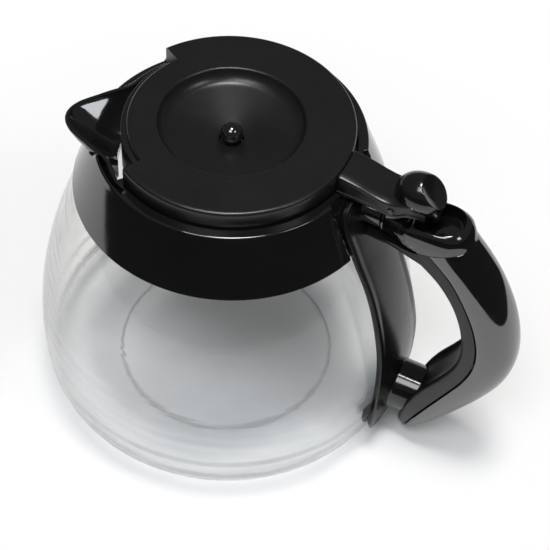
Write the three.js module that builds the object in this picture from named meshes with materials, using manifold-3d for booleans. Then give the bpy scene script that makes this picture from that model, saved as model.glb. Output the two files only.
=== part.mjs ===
import * as THREE from 'three';
import { mergeVertices } from 'three/addons/utils/BufferGeometryUtils.js';
import Module from 'manifold-3d';

const wasm = await Module();
wasm.setup();

// Sizes in millimetres: +Z up, base on z = 0, handle towards +X, spout towards -X

// Shared fits
const fit = 0.3;
const through = 200;
const roundSegments = 40;
const smallSegments = 24;

// Glass bowl
const baseRadius = 57;
const bowlRadius = 79.8;
const bowlHeight = 30;
const shoulderRadius = 60.4;
const mouthRadius = 52.2;
const glassWall = 2.4;
const floorThickness = 3.6;
const floorStepRadius = 46.6;

// Collar
const collarBottom = 110;
const collarHeight = 25.3;
const collarBottomRadius = 62.5;
const collarTopRadius = 53.3;
const boreRadius = 48.9;
const shelfDrop = 4.3;
const shelfRadius = 45.2;
const lipWall = 1.7;
const mouthRise = 7.8;
const sealThickness = 1.2;
const collarTop = collarBottom + collarHeight;
const shelfHeight = collarTop - shelfDrop;
const mouthTop = collarBottom + mouthRise;
const grooveTop = mouthTop + sealThickness + 2 * fit;

// Spout
const spoutAngle = THREE.MathUtils.degToRad(195.5);
const spoutReach = 66;
const spoutWall = 1.9;
const pourHalfAngle = THREE.MathUtils.degToRad(36);
const pourRadius = 47.4;
const sillHalfAngle = THREE.MathUtils.degToRad(21);
const sillRadius = 44.2;
const lipRadius = 49.8;
const lipZone = THREE.MathUtils.degToRad(49);
const lipDrop = 2.7;
const lipBandDepth = 7;
const lipGroove = 2.4;
const beakHalfAngle = THREE.MathUtils.degToRad(21);
const lipHeight = collarTop - lipDrop;

// Lid
const lidRadius = boreRadius - 0.7;
const lidStand = 7.5;
const lidPlate = 2.6;
const lidWall = 1.8;
const dishRadius = 29.2;
const dishDepth = 9.8;
const dishConeRadius = 24.5;
const dishSlope = 0.24;
const dishWall = 2.2;
const notchAngle = THREE.MathUtils.degToRad(194.2);
const notchHalfAngle = THREE.MathUtils.degToRad(44.7);
const notchRadius = 40.4;
const skirtOuter = 42.6;
const skirtInner = 40.8;
const skirtDepth = 18;
const skirtFlange = 2.4;
const flangeThickness = 1.4;
const lidTop = collarTop + lidStand;
const lidUnderside = lidTop - lidPlate;
const flangeBottom = shelfHeight + fit;
const dishFloor = lidTop - dishDepth;
const dishUnderside = dishFloor - dishWall;

// Drip valve in the dish
const ballRadius = 4.4;
const ballCentre = lidTop - 7;
const stemRadius = 1.9;
const valveHole = ballRadius + fit;
const valveSealRadius = 6.5;
const valveSealThickness = 1.9;
const shoulderThickness = 1.2;
const stemShoulder = 2.9;
const cageOuter = 11.4;
const cageInner = 8.8;
const cageDepth = 12.4;
const cageFloor = 2;
const cageRing = 2.6;
const cageLegs = 3;
const springWire = 0.45;
const springRadius = 4.4;
const springTurns = 4;
const springSides = 5;
const springSteps = 8;

// Lid arm, knob and hinge
const armHalfWidth = 8;
const armWall = 2.2;
const armTopWall = 1.8;
const pivotInset = 9.8;
const pivotX = bowlRadius - pivotInset;
const pivotDrop = 1.1;
const pivotHeight = collarTop - pivotDrop;
const armFront = lidRadius - 2.2;
const armRear = pivotX + 13;
const tongueHalfWidth = 6;
const tongueFront = 33;
const tongueThickness = 2.5;
const armScrewX = 36.5;
const armScrewSpacing = 6.8;
const armScrewRadius = 1.2;
const armScrewHead = 2.4;
const armScrewHeadHeight = 1.5;
const armScrewBite = 1.7;
const pinRadius = 1.2;
const lugRadius = 2.4;
const knobX = pivotX + 8.7;
const knobHeight = lidTop - 1;
const knobRadius = 8;
const knobLength = 10.1;
const tailTip = collarTop - 8.3;
const tailThickness = 3.6;

// Back plate on the glass
const plateGap = 0.5;
const plateThickness = 2;
const plateBorder = 0.5;
const borderWidth = 3.2;
const plateBottom = 7.5;
const plateTop = 132.3;
const plateTopRadius = 52.6;
const plateBend = 104;
const plateWidths = [15.3, 16, 15.8, 17, 18.4, 20.4, 22, 22];
const plateHeights = [126, 110, 90, 72, 56, 43, 30, 17];
const padHalfWidth = 27.5;
const padBottom = 28;
const padHeight = 6;
const padThickness = 1.1;

// Neck, handle and stud
const neckDrop = 12.1;
const neckHeight = collarTop - neckDrop;
const neckRadius = 5.8;
const neckEnd = pivotX - 4.2;
const ringRadius = 6.5;
const ringWidth = 1.3;
const topStart = neckEnd + ringWidth + 2 * fit;
const screwRadius = 2;
const upperScrewEnd = pivotX + 3.4;
const upperHeadRadius = 3;
const headHeight = 2.2;
const studHeight = 23;
const studRadius = 11.5;
const lowerScrewEnd = bowlRadius + 12.8;
const lowerHeadRadius = 4;
const lowerHeadHeight = 0.9;
const shellWall = 2.6;
const scoopFront = pivotX + 4.8;
const scoopRear = pivotX + 27.2;
const scoopHalfWidth = 8.6;
const scoopFloor = neckHeight - 4;

// Handle stations in the XZ plane, out from the bowl and up: inner edge, liner seam, outer crest, half width
const innerEdge = [
  [5.8, 113.8], [13.8, 107.6], [20.5, 99], [25.1, 89.2], [27.6, 78.8], [27.8, 69],
  [25.3, 59.5], [20.4, 49.5], [14.2, 38.5], [9.5, 26.5], [7, 15], [6, 8.4],
].map(([out, up]) => [bowlRadius + out, up]);
const seamLine = [
  [7.7, 121.8], [17.4, 113.2], [24.5, 103.3], [30.5, 91.3], [33.8, 79.3], [34, 68],
  [31.2, 57], [26.2, 45.8], [19.8, 32.6], [14.4, 21], [10.8, 11.2], [8.6, 5.6],
].map(([out, up]) => [bowlRadius + out, up]);
const outerCrest = [
  [22.9, 125.9], [30, 116.8], [37.2, 106], [43.7, 92.5], [47.5, 79], [48.5, 67],
  [46.2, 55], [40.5, 42.5], [32.2, 29], [23.4, 16.5], [14.6, 7.6], [10, 4.6],
].map(([out, up]) => [bowlRadius + out, up]);
const handleWidths = [11, 11.6, 12.1, 12.4, 12.5, 12.5, 12.4, 12.3, 12.3, 12.2, 10.6, 7.5];

// Geometry helpers

function signedVolume(geometry) {
  const position = geometry.getAttribute('position');
  const index = geometry.getIndex();
  const a = new THREE.Vector3();
  const b = new THREE.Vector3();
  const c = new THREE.Vector3();
  let volume = 0;
  for (let i = 0; i < index.count; i += 3) {
    a.fromBufferAttribute(position, index.getX(i));
    b.fromBufferAttribute(position, index.getX(i + 1));
    c.fromBufferAttribute(position, index.getX(i + 2));
    volume += a.dot(b.cross(c)) / 6;
  }
  return volume;
}

function solid(geometry) {
  const bare = geometry.clone();
  bare.deleteAttribute('normal');
  bare.deleteAttribute('uv');
  const merged = mergeVertices(bare, 1e-3);
  const index = Array.from(merged.getIndex().array);
  const flip = signedVolume(merged) < 0;
  const triangles = [];
  for (let i = 0; i < index.length; i += 3) {
    const [a, b, c] = index.slice(i, i + 3);
    if (a !== b && b !== c && c !== a) {
      triangles.push(...(flip ? [a, c, b] : [a, b, c]));
    }
  }
  return new wasm.Manifold(new wasm.Mesh({
    numProp: 3,
    vertProperties: new Float32Array(merged.getAttribute('position').array),
    triVerts: new Uint32Array(triangles),
  }));
}

function geometryOf(body) {
  const mesh = body.getMesh();
  const geometry = new THREE.BufferGeometry();
  geometry.setAttribute('position', new THREE.BufferAttribute(new Float32Array(mesh.vertProperties), 3));
  geometry.setIndex(Array.from(mesh.triVerts));
  geometry.computeVertexNormals();
  return geometry;
}

function vectors(points) {
  return points.map((p) => new THREE.Vector2(...p));
}

function turned(points, segments = roundSegments) {
  const geometry = new THREE.LatheGeometry(vectors(points), segments);
  geometry.rotateX(Math.PI / 2);
  return solid(geometry);
}

function turnedRing(points, segments = roundSegments) {
  return turned([...points, points[0]], segments);
}

function offsetProfile(points, distance) {
  return points.map((p, i) => {
    const before = points[Math.max(i - 1, 0)];
    const after = points[Math.min(i + 1, points.length - 1)];
    const along = [after[0] - before[0], after[1] - before[1]];
    const length = Math.hypot(...along);
    return [p[0] + distance * along[1] / length, p[1] - distance * along[0] / length];
  });
}

function pathPoints(start, curves, divisions) {
  const path = new THREE.Path();
  path.moveTo(...start);
  for (const curve of curves) {
    path.bezierCurveTo(...curve);
  }
  return path.getPoints(divisions).map((p) => [p.x, p.y]);
}

function splinePoints(points, divisions) {
  return new THREE.SplineCurve(vectors(points)).getPoints(divisions).map((p) => [p.x, p.y]);
}

// Outline in the XZ plane, extruded across Y about the handle's plane
function sideBlock(outline, halfWidth) {
  const geometry = new THREE.ExtrudeGeometry(new THREE.Shape(vectors(outline)), {
    depth: 2 * halfWidth,
    bevelEnabled: false,
  });
  geometry.rotateX(Math.PI / 2);
  geometry.translate(0, halfWidth, 0);
  return solid(geometry);
}

// Outline in the YZ plane, extruded along X
function frontBlock(outline, start, end) {
  const geometry = new THREE.ExtrudeGeometry(new THREE.Shape(vectors(outline)), {
    depth: end - start,
    bevelEnabled: false,
  });
  geometry.rotateX(Math.PI / 2);
  geometry.rotateZ(Math.PI / 2);
  geometry.translate(start, 0, 0);
  return solid(geometry);
}

function planBlock(outline, bottom, top) {
  const geometry = new THREE.ExtrudeGeometry(outline, {
    depth: top - bottom,
    bevelEnabled: false,
    curveSegments: 12,
  });
  geometry.translate(0, 0, bottom);
  return solid(geometry);
}

function box(x0, x1, y0, y1, z0, z1) {
  const geometry = new THREE.BoxGeometry(x1 - x0, y1 - y0, z1 - z0);
  geometry.translate((x0 + x1) / 2, (y0 + y1) / 2, (z0 + z1) / 2);
  return solid(geometry);
}

function rodX(x0, x1, y, z, radius) {
  const geometry = new THREE.CylinderGeometry(radius, radius, x1 - x0, smallSegments);
  geometry.rotateZ(Math.PI / 2);
  geometry.translate((x0 + x1) / 2, y, z);
  return solid(geometry);
}

function rodY(y0, y1, x, z, radius) {
  const geometry = new THREE.CylinderGeometry(radius, radius, y1 - y0, smallSegments);
  geometry.translate(x, (y0 + y1) / 2, z);
  return solid(geometry);
}

function rodZ(z0, z1, x, y, radius) {
  const geometry = new THREE.CylinderGeometry(radius, radius, z1 - z0, smallSegments);
  geometry.rotateX(Math.PI / 2);
  geometry.translate(x, y, (z0 + z1) / 2);
  return solid(geometry);
}

function sector(inner, outer, centre, half, bottom, top) {
  const shape = new THREE.Shape();
  shape.absarc(0, 0, outer, centre - half, centre + half, false);
  shape.absarc(0, 0, inner, centre + half, centre - half, true);
  return planBlock(shape, bottom, top);
}

// Closed skin through rings of equal count, with a flat fan at each end
function loft(rings) {
  const count = rings[0].length;
  const vertices = rings.flat().flatMap((p) => [p.x, p.y, p.z]);
  const triangles = [];
  for (let i = 0; i + 1 < rings.length; i += 1) {
    for (let j = 0; j < count; j += 1) {
      const a = i * count + j;
      const b = i * count + (j + 1) % count;
      triangles.push(a, b, a + count, b, b + count, a + count);
    }
  }
  for (const end of [0, rings.length - 1]) {
    const centre = new THREE.Vector3();
    rings[end].forEach((p) => centre.add(p));
    centre.divideScalar(count);
    const hub = vertices.length / 3;
    vertices.push(centre.x, centre.y, centre.z);
    for (let j = 0; j < count; j += 1) {
      const a = end * count + j;
      const b = end * count + (j + 1) % count;
      triangles.push(...(end === 0 ? [hub, b, a] : [hub, a, b]));
    }
  }
  const geometry = new THREE.BufferGeometry();
  geometry.setAttribute('position', new THREE.Float32BufferAttribute(vertices, 3));
  geometry.setIndex(triangles);
  return solid(geometry);
}

// Ring in the plane through two XZ points and Y: rounded at the crest, flat at the foot when split is 0
function archRing(foot, crest, halfWidth, split, squareness = 0.75) {
  const upper = 14;
  const lower = 6;
  const points = [];
  const add = (across, along) => points.push(new THREE.Vector3(
    foot[0] + along * (crest[0] - foot[0]),
    across,
    foot[1] + along * (crest[1] - foot[1]),
  ));
  for (let i = 0; i <= upper; i += 1) {
    const angle = Math.PI * (i / upper - 0.5);
    const side = Math.sign(angle) * Math.abs(Math.sin(angle)) ** squareness;
    add(halfWidth * side, split + (1 - split) * Math.max(Math.cos(angle), 0) ** squareness);
  }
  for (let i = 1; i < lower; i += 1) {
    const angle = Math.PI * (0.5 - i / lower);
    add(halfWidth * Math.sin(angle), split * (1 - Math.cos(angle)));
  }
  return points;
}

// Point at a distance from the first XZ point towards the second
function towards(from, to, distance) {
  const length = Math.hypot(to[0] - from[0], to[1] - from[1]);
  return [
    from[0] + distance * (to[0] - from[0]) / length,
    from[1] + distance * (to[1] - from[1]) / length,
  ];
}

function atAngle(body, angle) {
  return body.rotate([0, 0, THREE.MathUtils.radToDeg(angle)]);
}

// Glass bowl

const glassOuter = pathPoints([baseRadius, 0], [
  [baseRadius + 0.85 * (bowlRadius - baseRadius), 0, bowlRadius, 0.15 * bowlHeight, bowlRadius, bowlHeight],
  [bowlRadius, bowlHeight + 28, shoulderRadius + 10.8, collarBottom - 24, shoulderRadius, collarBottom],
  [shoulderRadius - 2.4, collarBottom + 5.3, mouthRadius + 0.6, collarBottom + 4, mouthRadius, mouthTop],
], 6);
const glassInner = offsetProfile(glassOuter, -glassWall);
const glassBowl = turned([
  [0, 0],
  ...glassOuter,
  ...glassInner.toReversed(),
  [floorStepRadius, glassWall],
  [floorStepRadius - 1, floorThickness],
  [0, floorThickness],
]);

function glassRadiusAt(height) {
  const next = glassOuter.findIndex((p) => p[1] >= height);
  const [r0, z0] = glassOuter[next - 1];
  const [r1, z1] = glassOuter[next];
  return r0 + (r1 - r0) * (height - z0) / (z1 - z0);
}

// Back plate outline and its place over the glass and collar

function plateRadius(height) {
  if (height <= plateBend) {
    return glassRadiusAt(height) + plateGap;
  }
  const bendRadius = glassRadiusAt(plateBend) + plateGap;
  return bendRadius + (plateTopRadius - bendRadius) * (height - plateBend) / (plateTop - plateBend);
}

const plateLevels = [
  plateBottom,
  ...glassOuter.map(([, z]) => z).filter((z) => z > plateBottom + 1 && z < plateBend - 1),
  plateBend,
  plateTop,
];
const plateProfile = plateLevels.map((z) => [plateRadius(z), z]);

function plateShell(inner, outer) {
  const reach = 3;
  const first = plateProfile[0];
  const last = plateProfile.at(-1);
  const line = [[first[0], first[1] - reach], ...plateProfile, [last[0], last[1] + reach]];
  return turnedRing([
    ...line.map(([r, z]) => [r + outer, z]),
    ...line.map(([r, z]) => [r + inner, z]).toReversed(),
  ]);
}

function plateOutline(inset) {
  const right = [
    [0, plateTop - inset],
    [8 - inset / 2, plateTop - 0.8 - inset],
    ...plateWidths.map((w, i) => [w - inset, plateHeights[i]]),
    [17 - inset / 2, plateBottom + 2 + inset],
    [0, plateBottom + inset],
  ];
  const side = splinePoints(right, 22);
  const mirrored = side.slice(1, -1).map(([y, z]) => [-y, z]).toReversed();
  return frontBlock([...side, ...mirrored], 20, 100);
}

const lowerHeadStart = plateRadius(studHeight) + fit;
const padRegion = frontBlock([
  [-padHalfWidth, padBottom], [padHalfWidth, padBottom],
  [padHalfWidth, padBottom + padHeight], [-padHalfWidth, padBottom + padHeight],
], 20, 100);
const padPocket = frontBlock([
  [-padHalfWidth - fit, padBottom - fit], [padHalfWidth + fit, padBottom - fit],
  [padHalfWidth + fit, padBottom + padHeight + fit], [-padHalfWidth - fit, padBottom + padHeight + fit],
], 20, 100);
const padStart = fit - plateGap;
const platePad = plateShell(padStart, padStart + padThickness).intersect(padRegion);

const plateCore = plateShell(0, plateThickness).intersect(plateOutline(0));
const plateRim = plateShell(plateThickness - 0.4, plateThickness + plateBorder)
  .intersect(plateOutline(0).subtract(plateOutline(borderWidth)));
const backPlate = plateCore.add(plateRim)
  .subtract(plateShell(-2, padStart + padThickness + fit).intersect(padPocket))
  .subtract(rodX(40, through, 0, neckHeight, screwRadius + fit))
  .subtract(rodX(40, through, 0, studHeight, screwRadius + fit))
  .subtract(rodX(40, lowerHeadStart + lowerHeadHeight + fit, 0, studHeight, lowerHeadRadius + fit));
const plateKeepOut = plateShell(-30, plateThickness + fit);
const plateRecess = plateShell(-fit, 20).intersect(plateOutline(-fit));

// Collar with the spout

const collarBore = offsetProfile(glassOuter, fit).filter(([, z]) => z >= collarBottom - 0.5);
const grooveOuter = collarBore.at(-1)[0];
const collarRing = turnedRing([
  [collarBottomRadius - 0.6, collarBottom],
  [collarBottomRadius, collarBottom + 0.6],
  [collarTopRadius, collarTop - 0.7],
  [collarTopRadius - 0.7, collarTop],
  [boreRadius + 0.4, collarTop],
  [boreRadius, collarTop - 0.4],
  [boreRadius, shelfHeight],
  [shelfRadius, shelfHeight],
  [shelfRadius, mouthTop - 2],
  [shelfRadius + lipWall, mouthTop - 2],
  [shelfRadius + lipWall, grooveTop],
  [grooveOuter, grooveTop],
  ...collarBore.filter(([, z]) => z > collarBottom + 0.5).toReversed(),
  [collarBore.find(([, z]) => z >= collarBottom - 0.5)[0], collarBottom],
]);

const lipBandBottom = lipHeight - lipBandDepth;
const lipCutInner = lipRadius - 0.2;
const lipCutTop = collarTop + 5;
const lipCutBottom = lipBandBottom + 1.6;
const halfZone = lipZone / 2;
const lipCut = sector(
  lipCutInner, lipRadius + lipGroove, spoutAngle + halfZone, halfZone, lipCutBottom, lipCutTop,
)
  .add(sector(lipCutInner, through, spoutAngle - halfZone, halfZone, lipCutBottom, lipCutTop))
  .add(sector(lipCutInner, through, spoutAngle, beakHalfAngle, lipHeight - 1.4, lipCutTop));
const lipOpening = sector(
  shelfRadius - 8, lipRadius, spoutAngle, lipZone, shelfHeight - 1, collarTop + 5,
);
const lipBand = sector(boreRadius, lipRadius, spoutAngle, lipZone + 0.01, lipBandBottom, lipHeight)
  .add(sector(sillRadius - 1, lipRadius, spoutAngle, pourHalfAngle, lipBandBottom, lipHeight));
const pourCut = sector(shelfRadius - 8, pourRadius, spoutAngle, pourHalfAngle, collarBottom, collarTop + 5)
  .subtract(sector(sillRadius, through, spoutAngle, sillHalfAngle, collarBottom - 1, collarTop + 6));

function beak(stations, rise) {
  return loft(stations.map(([along, half, depth]) => [
    [-half, rise], [half, rise], [half, -Math.min(1.6, depth / 3)], [0.55 * half, -0.66 * depth],
    [0, -depth], [-0.55 * half, -0.66 * depth], [-half, -Math.min(1.6, depth / 3)],
  ].map(([y, z]) => new THREE.Vector3(along, y, lipHeight + z))));
}

const beakOuter = beak([
  [43, 22.5, 10], [47.4, 19.6, 10.4], [51.7, 16.6, 10.6], [56.7, 12.8, 9.6], [60, 10, 7.4],
  [62.4, 7.4, 5.2], [spoutReach - 0.9, 4.4, 3.2], [spoutReach, 1.4, 2],
], -0.1);
const beakInner = beak([
  [42, 21, 11.6], [47.4, 17.6, 10.6], [51.7, 14.5, 8.8], [56.7, 10.6, 6.3], [60, 7.7, 4.3],
  [62, 5.2, 2.8], [spoutReach - spoutWall, 2, 1.4],
], 6);

const armNotchFloor = collarTop - 3.4;
const armNotchHalf = armHalfWidth + 2 * fit;
const armNotch = box(boreRadius - 3, through, -armNotchHalf, armNotchHalf, armNotchFloor, collarTop + 5);
const upperHeadStart = shelfRadius + 2 * fit;
const collar = collarRing.subtract(lipCut)
  .subtract(lipOpening)
  .add(lipBand)
  .add(atAngle(beakOuter, spoutAngle))
  .subtract(atAngle(beakInner, spoutAngle))
  .subtract(pourCut)
  .subtract(armNotch)
  .subtract(plateRecess)
  .subtract(rodX(shelfRadius - 5, through, 0, neckHeight, screwRadius + fit))
  .subtract(rodX(shelfRadius - 5, upperHeadStart + headHeight + fit, 0, neckHeight, upperHeadRadius + fit));

const collarSeal = turnedRing([
  [pourRadius + fit, mouthTop + fit],
  [grooveOuter - fit, mouthTop + fit],
  [grooveOuter - fit, mouthTop + fit + sealThickness],
  [pourRadius + fit, mouthTop + fit + sealThickness],
]);

// Lid cover and skirt

const coneTop = dishFloor + dishSlope * (dishConeRadius - valveHole);
const dishCurve = pathPoints([dishConeRadius, coneTop], [[
  dishConeRadius + 2.1, coneTop + 2.1 * dishSlope,
  dishRadius - 1.2, lidTop - 2.4,
  dishRadius - 0.6, lidTop - 0.6,
]], 7);
const dishLine = [[valveHole, dishFloor], ...dishCurve];
const dishUnder = [
  [valveHole, dishUnderside],
  [cageOuter + 0.6, dishUnderside],
  ...offsetProfile(dishLine, dishWall).filter(([r, z]) => r > cageOuter + 3 && z < lidUnderside - 0.4),
];
const tongueSlot = box(
  skirtInner - skirtFlange - 1, through,
  -tongueHalfWidth - fit, tongueHalfWidth + fit,
  lidUnderside - tongueThickness - 2 * fit, lidUnderside,
);
const armScrewPlaces = [-armScrewSpacing / 2, armScrewSpacing / 2];
const armScrewTop = lidUnderside + armScrewBite;
const lidTurned = turnedRing([
  ...dishLine,
  [dishRadius + 0.5, lidTop],
  [lidRadius - 1.9, lidTop],
  [lidRadius - 0.5, lidTop - 0.5],
  [lidRadius, lidTop - 1.6],
  [lidRadius, flangeBottom],
  [lidRadius - lidWall, flangeBottom],
  [lidRadius - lidWall, lidUnderside],
  [dishRadius + 2.2, lidUnderside],
  ...dishUnder.toReversed(),
]);
let lidCover = lidTurned
  .subtract(sector(notchRadius, lidRadius + 10, notchAngle, notchHalfAngle, flangeBottom - 5, lidTop + 5))
  .subtract(tongueSlot);
for (const y of armScrewPlaces) {
  const screwHole = rodZ(lidUnderside - 1, armScrewTop + fit, armScrewX, y, armScrewRadius + fit);
  lidCover = lidCover.subtract(screwHole);
}
const lidSkirt = turnedRing([
  [skirtInner, lidUnderside - skirtDepth],
  [skirtOuter, lidUnderside - skirtDepth],
  [skirtOuter, lidUnderside],
  [skirtInner - skirtFlange, lidUnderside],
  [skirtInner - skirtFlange, lidUnderside - flangeThickness],
  [skirtInner, lidUnderside - flangeThickness],
]).subtract(tongueSlot);

// Drip valve

const sealTop = dishUnderside - fit;
const sealBottom = sealTop - valveSealThickness;
const shoulderTop = sealBottom;
const shoulderBottom = shoulderTop - shoulderThickness;
const cageBottom = dishUnderside - cageDepth;
const springBottom = cageBottom + cageFloor + springWire;
const springTop = shoulderBottom - springWire;
const neckAngle = Math.asin(stemRadius / ballRadius);
const ballArc = Array.from({ length: 9 }, (_, i) => {
  const angle = neckAngle + (Math.PI - neckAngle) * i / 8;
  return [ballRadius * Math.sin(angle), ballCentre - ballRadius * Math.cos(angle)];
});
ballArc[8] = [0, ballCentre + ballRadius];
const valvePin = turned([
  [0, cageBottom - 1],
  [stemRadius, cageBottom - 1],
  [stemRadius, shoulderBottom],
  [stemShoulder, shoulderBottom],
  [stemShoulder, shoulderTop],
  [stemRadius, shoulderTop],
  ...ballArc,
], smallSegments);
const valveSeal = turnedRing([
  [stemRadius + fit, sealBottom],
  [valveSealRadius, sealBottom],
  [valveSealRadius, sealTop],
  [stemRadius + fit, sealTop],
], smallSegments);

let valveCage = turnedRing([
  [stemRadius + fit, cageBottom],
  [cageOuter, cageBottom],
  [cageOuter, dishUnderside],
  [cageInner, dishUnderside],
  [cageInner, cageBottom + cageFloor],
  [stemRadius + fit, cageBottom + cageFloor],
], smallSegments);
for (let i = 0; i < cageLegs; i += 1) {
  const centre = 2 * Math.PI * (i + 0.5) / cageLegs;
  const half = 0.72 * Math.PI / cageLegs;
  valveCage = valveCage.subtract(sector(
    cageInner - 1, cageOuter + 3, centre, half, cageBottom + cageFloor, dishUnderside - cageRing,
  ));
}

const springCount = springTurns * springSteps;
const springRings = Array.from({ length: springCount + 1 }, (_, i) => {
  const angle = 2 * Math.PI * i / springSteps;
  const height = springBottom + (springTop - springBottom) * i / springCount;
  const out = new THREE.Vector3(Math.cos(angle), Math.sin(angle), 0);
  const centre = out.clone().multiplyScalar(springRadius).setZ(height);
  return Array.from({ length: springSides }, (__, j) => {
    const turn = 2 * Math.PI * (j + 0.25) / springSides;
    return centre.clone()
      .addScaledVector(out, springWire * Math.cos(turn))
      .add(new THREE.Vector3(0, 0, springWire * Math.sin(turn)));
  });
});
const valveSpring = loft(springRings);
const springPitch = (springTop - springBottom) / springTurns;
console.log('spring: least gap between turns', (springPitch - 2 * springWire).toFixed(2), 'mm');

// Lid arm, its screws, the knob and the hinge pin

const armAt = (share, height) => [armFront + share * (armRear - armFront), height];
const armSeat = lidTop - 1.8;
const armTopLine = splinePoints([
  armAt(0, lidTop - 0.05), armAt(0.108, lidTop - 0.3), armAt(0.27, lidTop - 1.5),
  armAt(0.459, lidTop - 3.4), armAt(0.595, lidTop - 4.2), armAt(0.703, lidTop - 3.8),
  armAt(0.797, lidTop - 2.4), armAt(0.892, armSeat), armAt(1, armSeat),
], 24);
const armUnderLine = [
  armAt(1, pivotHeight - 1), armAt(0.892, pivotHeight), armAt(0.811, pivotHeight),
  armAt(0.716, pivotHeight - 2.3), armAt(0.622, pivotHeight - 2.5), armAt(0.432, pivotHeight - 1.5),
  armAt(0.243, collarTop - 2.2), armAt(0, collarTop - 2.1),
];
const armHollowRear = armRear - 2;
const armHollowFront = armFront + 5;
const armHollowLine = armTopLine
  .filter(([x]) => x > armHollowFront && x < armHollowRear)
  .map(([x, z]) => [x, z - armTopWall]);
const armHollow = sideBlock([
  [armHollowFront, armHollowLine[0][1]],
  ...armHollowLine,
  [armHollowRear, armHollowLine.at(-1)[1]],
  [armHollowRear, collarTop - 15],
  [armHollowFront, collarTop - 15],
], armHalfWidth - armWall);
const tongueTop = lidUnderside - fit;
const tongueBottom = tongueTop - tongueThickness;
const tongue = box(tongueFront, armHollowFront, -tongueHalfWidth, tongueHalfWidth, tongueBottom, tongueTop);
const lidKeepOut = turned([
  [0, flangeBottom - 10],
  [lidRadius + fit, flangeBottom - 10],
  [lidRadius + fit, lidTop + 10],
  [0, lidTop + 10],
]);
let lidArm = sideBlock([...armTopLine, ...armUnderLine], armHalfWidth)
  .subtract(lidKeepOut)
  .subtract(armHollow)
  .add(tongue)
  .subtract(rodY(-20, 20, pivotX, pivotHeight, pinRadius + fit));
for (const y of armScrewPlaces) {
  lidArm = lidArm.subtract(rodZ(tongueBottom - 5, tongueTop + 5, armScrewX, y, armScrewRadius + fit));
}
function armScrew(y) {
  return rodZ(tongueBottom - armScrewHeadHeight, tongueBottom, armScrewX, y, armScrewHead)
    .add(rodZ(tongueBottom - 0.5, armScrewTop, armScrewX, y, armScrewRadius));
}
const hingePin = rodY(-armHalfWidth + fit, armHalfWidth - fit, pivotX, pivotHeight, pinRadius);

const knobBallGeometry = new THREE.SphereGeometry(1, 28, 16);
knobBallGeometry.rotateZ(Math.PI / 2);
knobBallGeometry.scale(knobLength, knobRadius, knobRadius);
knobBallGeometry.translate(knobX, 0, knobHeight);
const tailRadius = knobRadius - 1.4;
const tailSide = pathPoints([tailRadius, knobHeight], [
  [tailRadius, knobHeight - 6, 3.6, tailTip + 6, 0.5, tailTip],
], 8);
const tailHead = Array.from({ length: 11 }, (_, i) => {
  const angle = Math.PI - Math.PI * (i + 1) / 12;
  return [tailRadius * Math.cos(angle), knobHeight + tailRadius * Math.sin(angle)];
});
const tail = frontBlock([
  ...tailSide.map(([y, z]) => [-y, z]).toReversed(),
  ...tailHead,
  ...tailSide,
], armRear + fit, armRear + fit + tailThickness);
const knobSeat = sideBlock([
  ...armTopLine, [armRear, pivotHeight - 20], [armFront, pivotHeight - 20],
], 20).translate([0, 0, fit])
  .add(box(armRear - 1, armRear + fit, -20, 20, pivotHeight - 20, armSeat + fit));
const thumbKnob = solid(knobBallGeometry).add(tail).subtract(knobSeat);

// Neck, handle top, shell, liner and stud

const neckSleeve = rodX(plateRadius(neckHeight) - 4, neckEnd, 0, neckHeight, neckRadius)
  .subtract(plateKeepOut)
  .subtract(rodX(40, through, 0, neckHeight, screwRadius + fit));
const neckRing = rodX(neckEnd + fit, neckEnd + fit + ringWidth, 0, neckHeight, ringRadius)
  .subtract(rodX(40, through, 0, neckHeight, screwRadius + fit));
const upperScrew = rodX(upperHeadStart, upperHeadStart + headHeight, 0, neckHeight, upperHeadRadius)
  .add(rodX(upperHeadStart + headHeight - 0.5, upperScrewEnd, 0, neckHeight, screwRadius));

const innerCurve = new THREE.SplineCurve(vectors(innerEdge));
const seamCurve = new THREE.SplineCurve(vectors(seamLine));
const crestCurve = new THREE.SplineCurve(vectors(outerCrest));
const widthCurve = new THREE.SplineCurve(handleWidths.map((w, i) => new THREE.Vector2(i, w)));

function handleStation(t) {
  const inner = innerCurve.getPoint(t).toArray();
  const seam = seamCurve.getPoint(t).toArray();
  const crest = crestCurve.getPoint(t).toArray();
  return { inner, seam, crest, width: widthCurve.getPoint(t).y };
}

const shellStart = 0.0035;
const shellSteps = Array.from({ length: 18 }, (_, i) => shellStart + (1 - shellStart) * i / 17);
const shellSkin = loft(shellSteps.map((t) => {
  const { seam, crest, width } = handleStation(t);
  return archRing(towards(seam, crest, fit), crest, width, 0);
}));
const shellHollow = loft(shellSteps.filter((t) => t > 0.06 && t < 0.9).map((t) => {
  const { seam, crest, width } = handleStation(t);
  return archRing(towards(seam, crest, -1), towards(crest, seam, shellWall), width - shellWall, 0);
}));
const handleShell = shellSkin.subtract(shellHollow);

const linerLead = [
  { foot: [pivotX - 9, neckHeight - 9.4], seam: [pivotX - 9, neckHeight - 7.3], width: 6.2 },
  { foot: [pivotX + 2, neckHeight - 9.4], seam: [pivotX + 2.3, neckHeight - 6.6], width: 7.6 },
  { foot: [pivotX + 10, neckHeight - 9.4], seam: [pivotX + 10.6, neckHeight - 5.6], width: 9.4 },
];
const linerSteps = Array.from({ length: 18 }, (_, i) => i / 17);
const linerStations = [
  ...linerLead,
  ...linerSteps.map((t) => {
    const { inner, seam, width } = handleStation(t);
    return { foot: inner, seam, width: width - 0.4 };
  }),
];
const linerBody = loft(linerStations.map(({ foot, seam, width }) => archRing(seam, foot, width, 0, 0.45)));
const handleKeepOut = loft(linerSteps.map((t) => {
  const { inner, crest, width } = handleStation(t);
  return archRing(crest, towards(inner, crest, -fit), width + 3, 0, 0.45);
}));
const lowerScrewHole = rodX(40, lowerScrewEnd + fit, 0, studHeight, screwRadius + fit);
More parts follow.
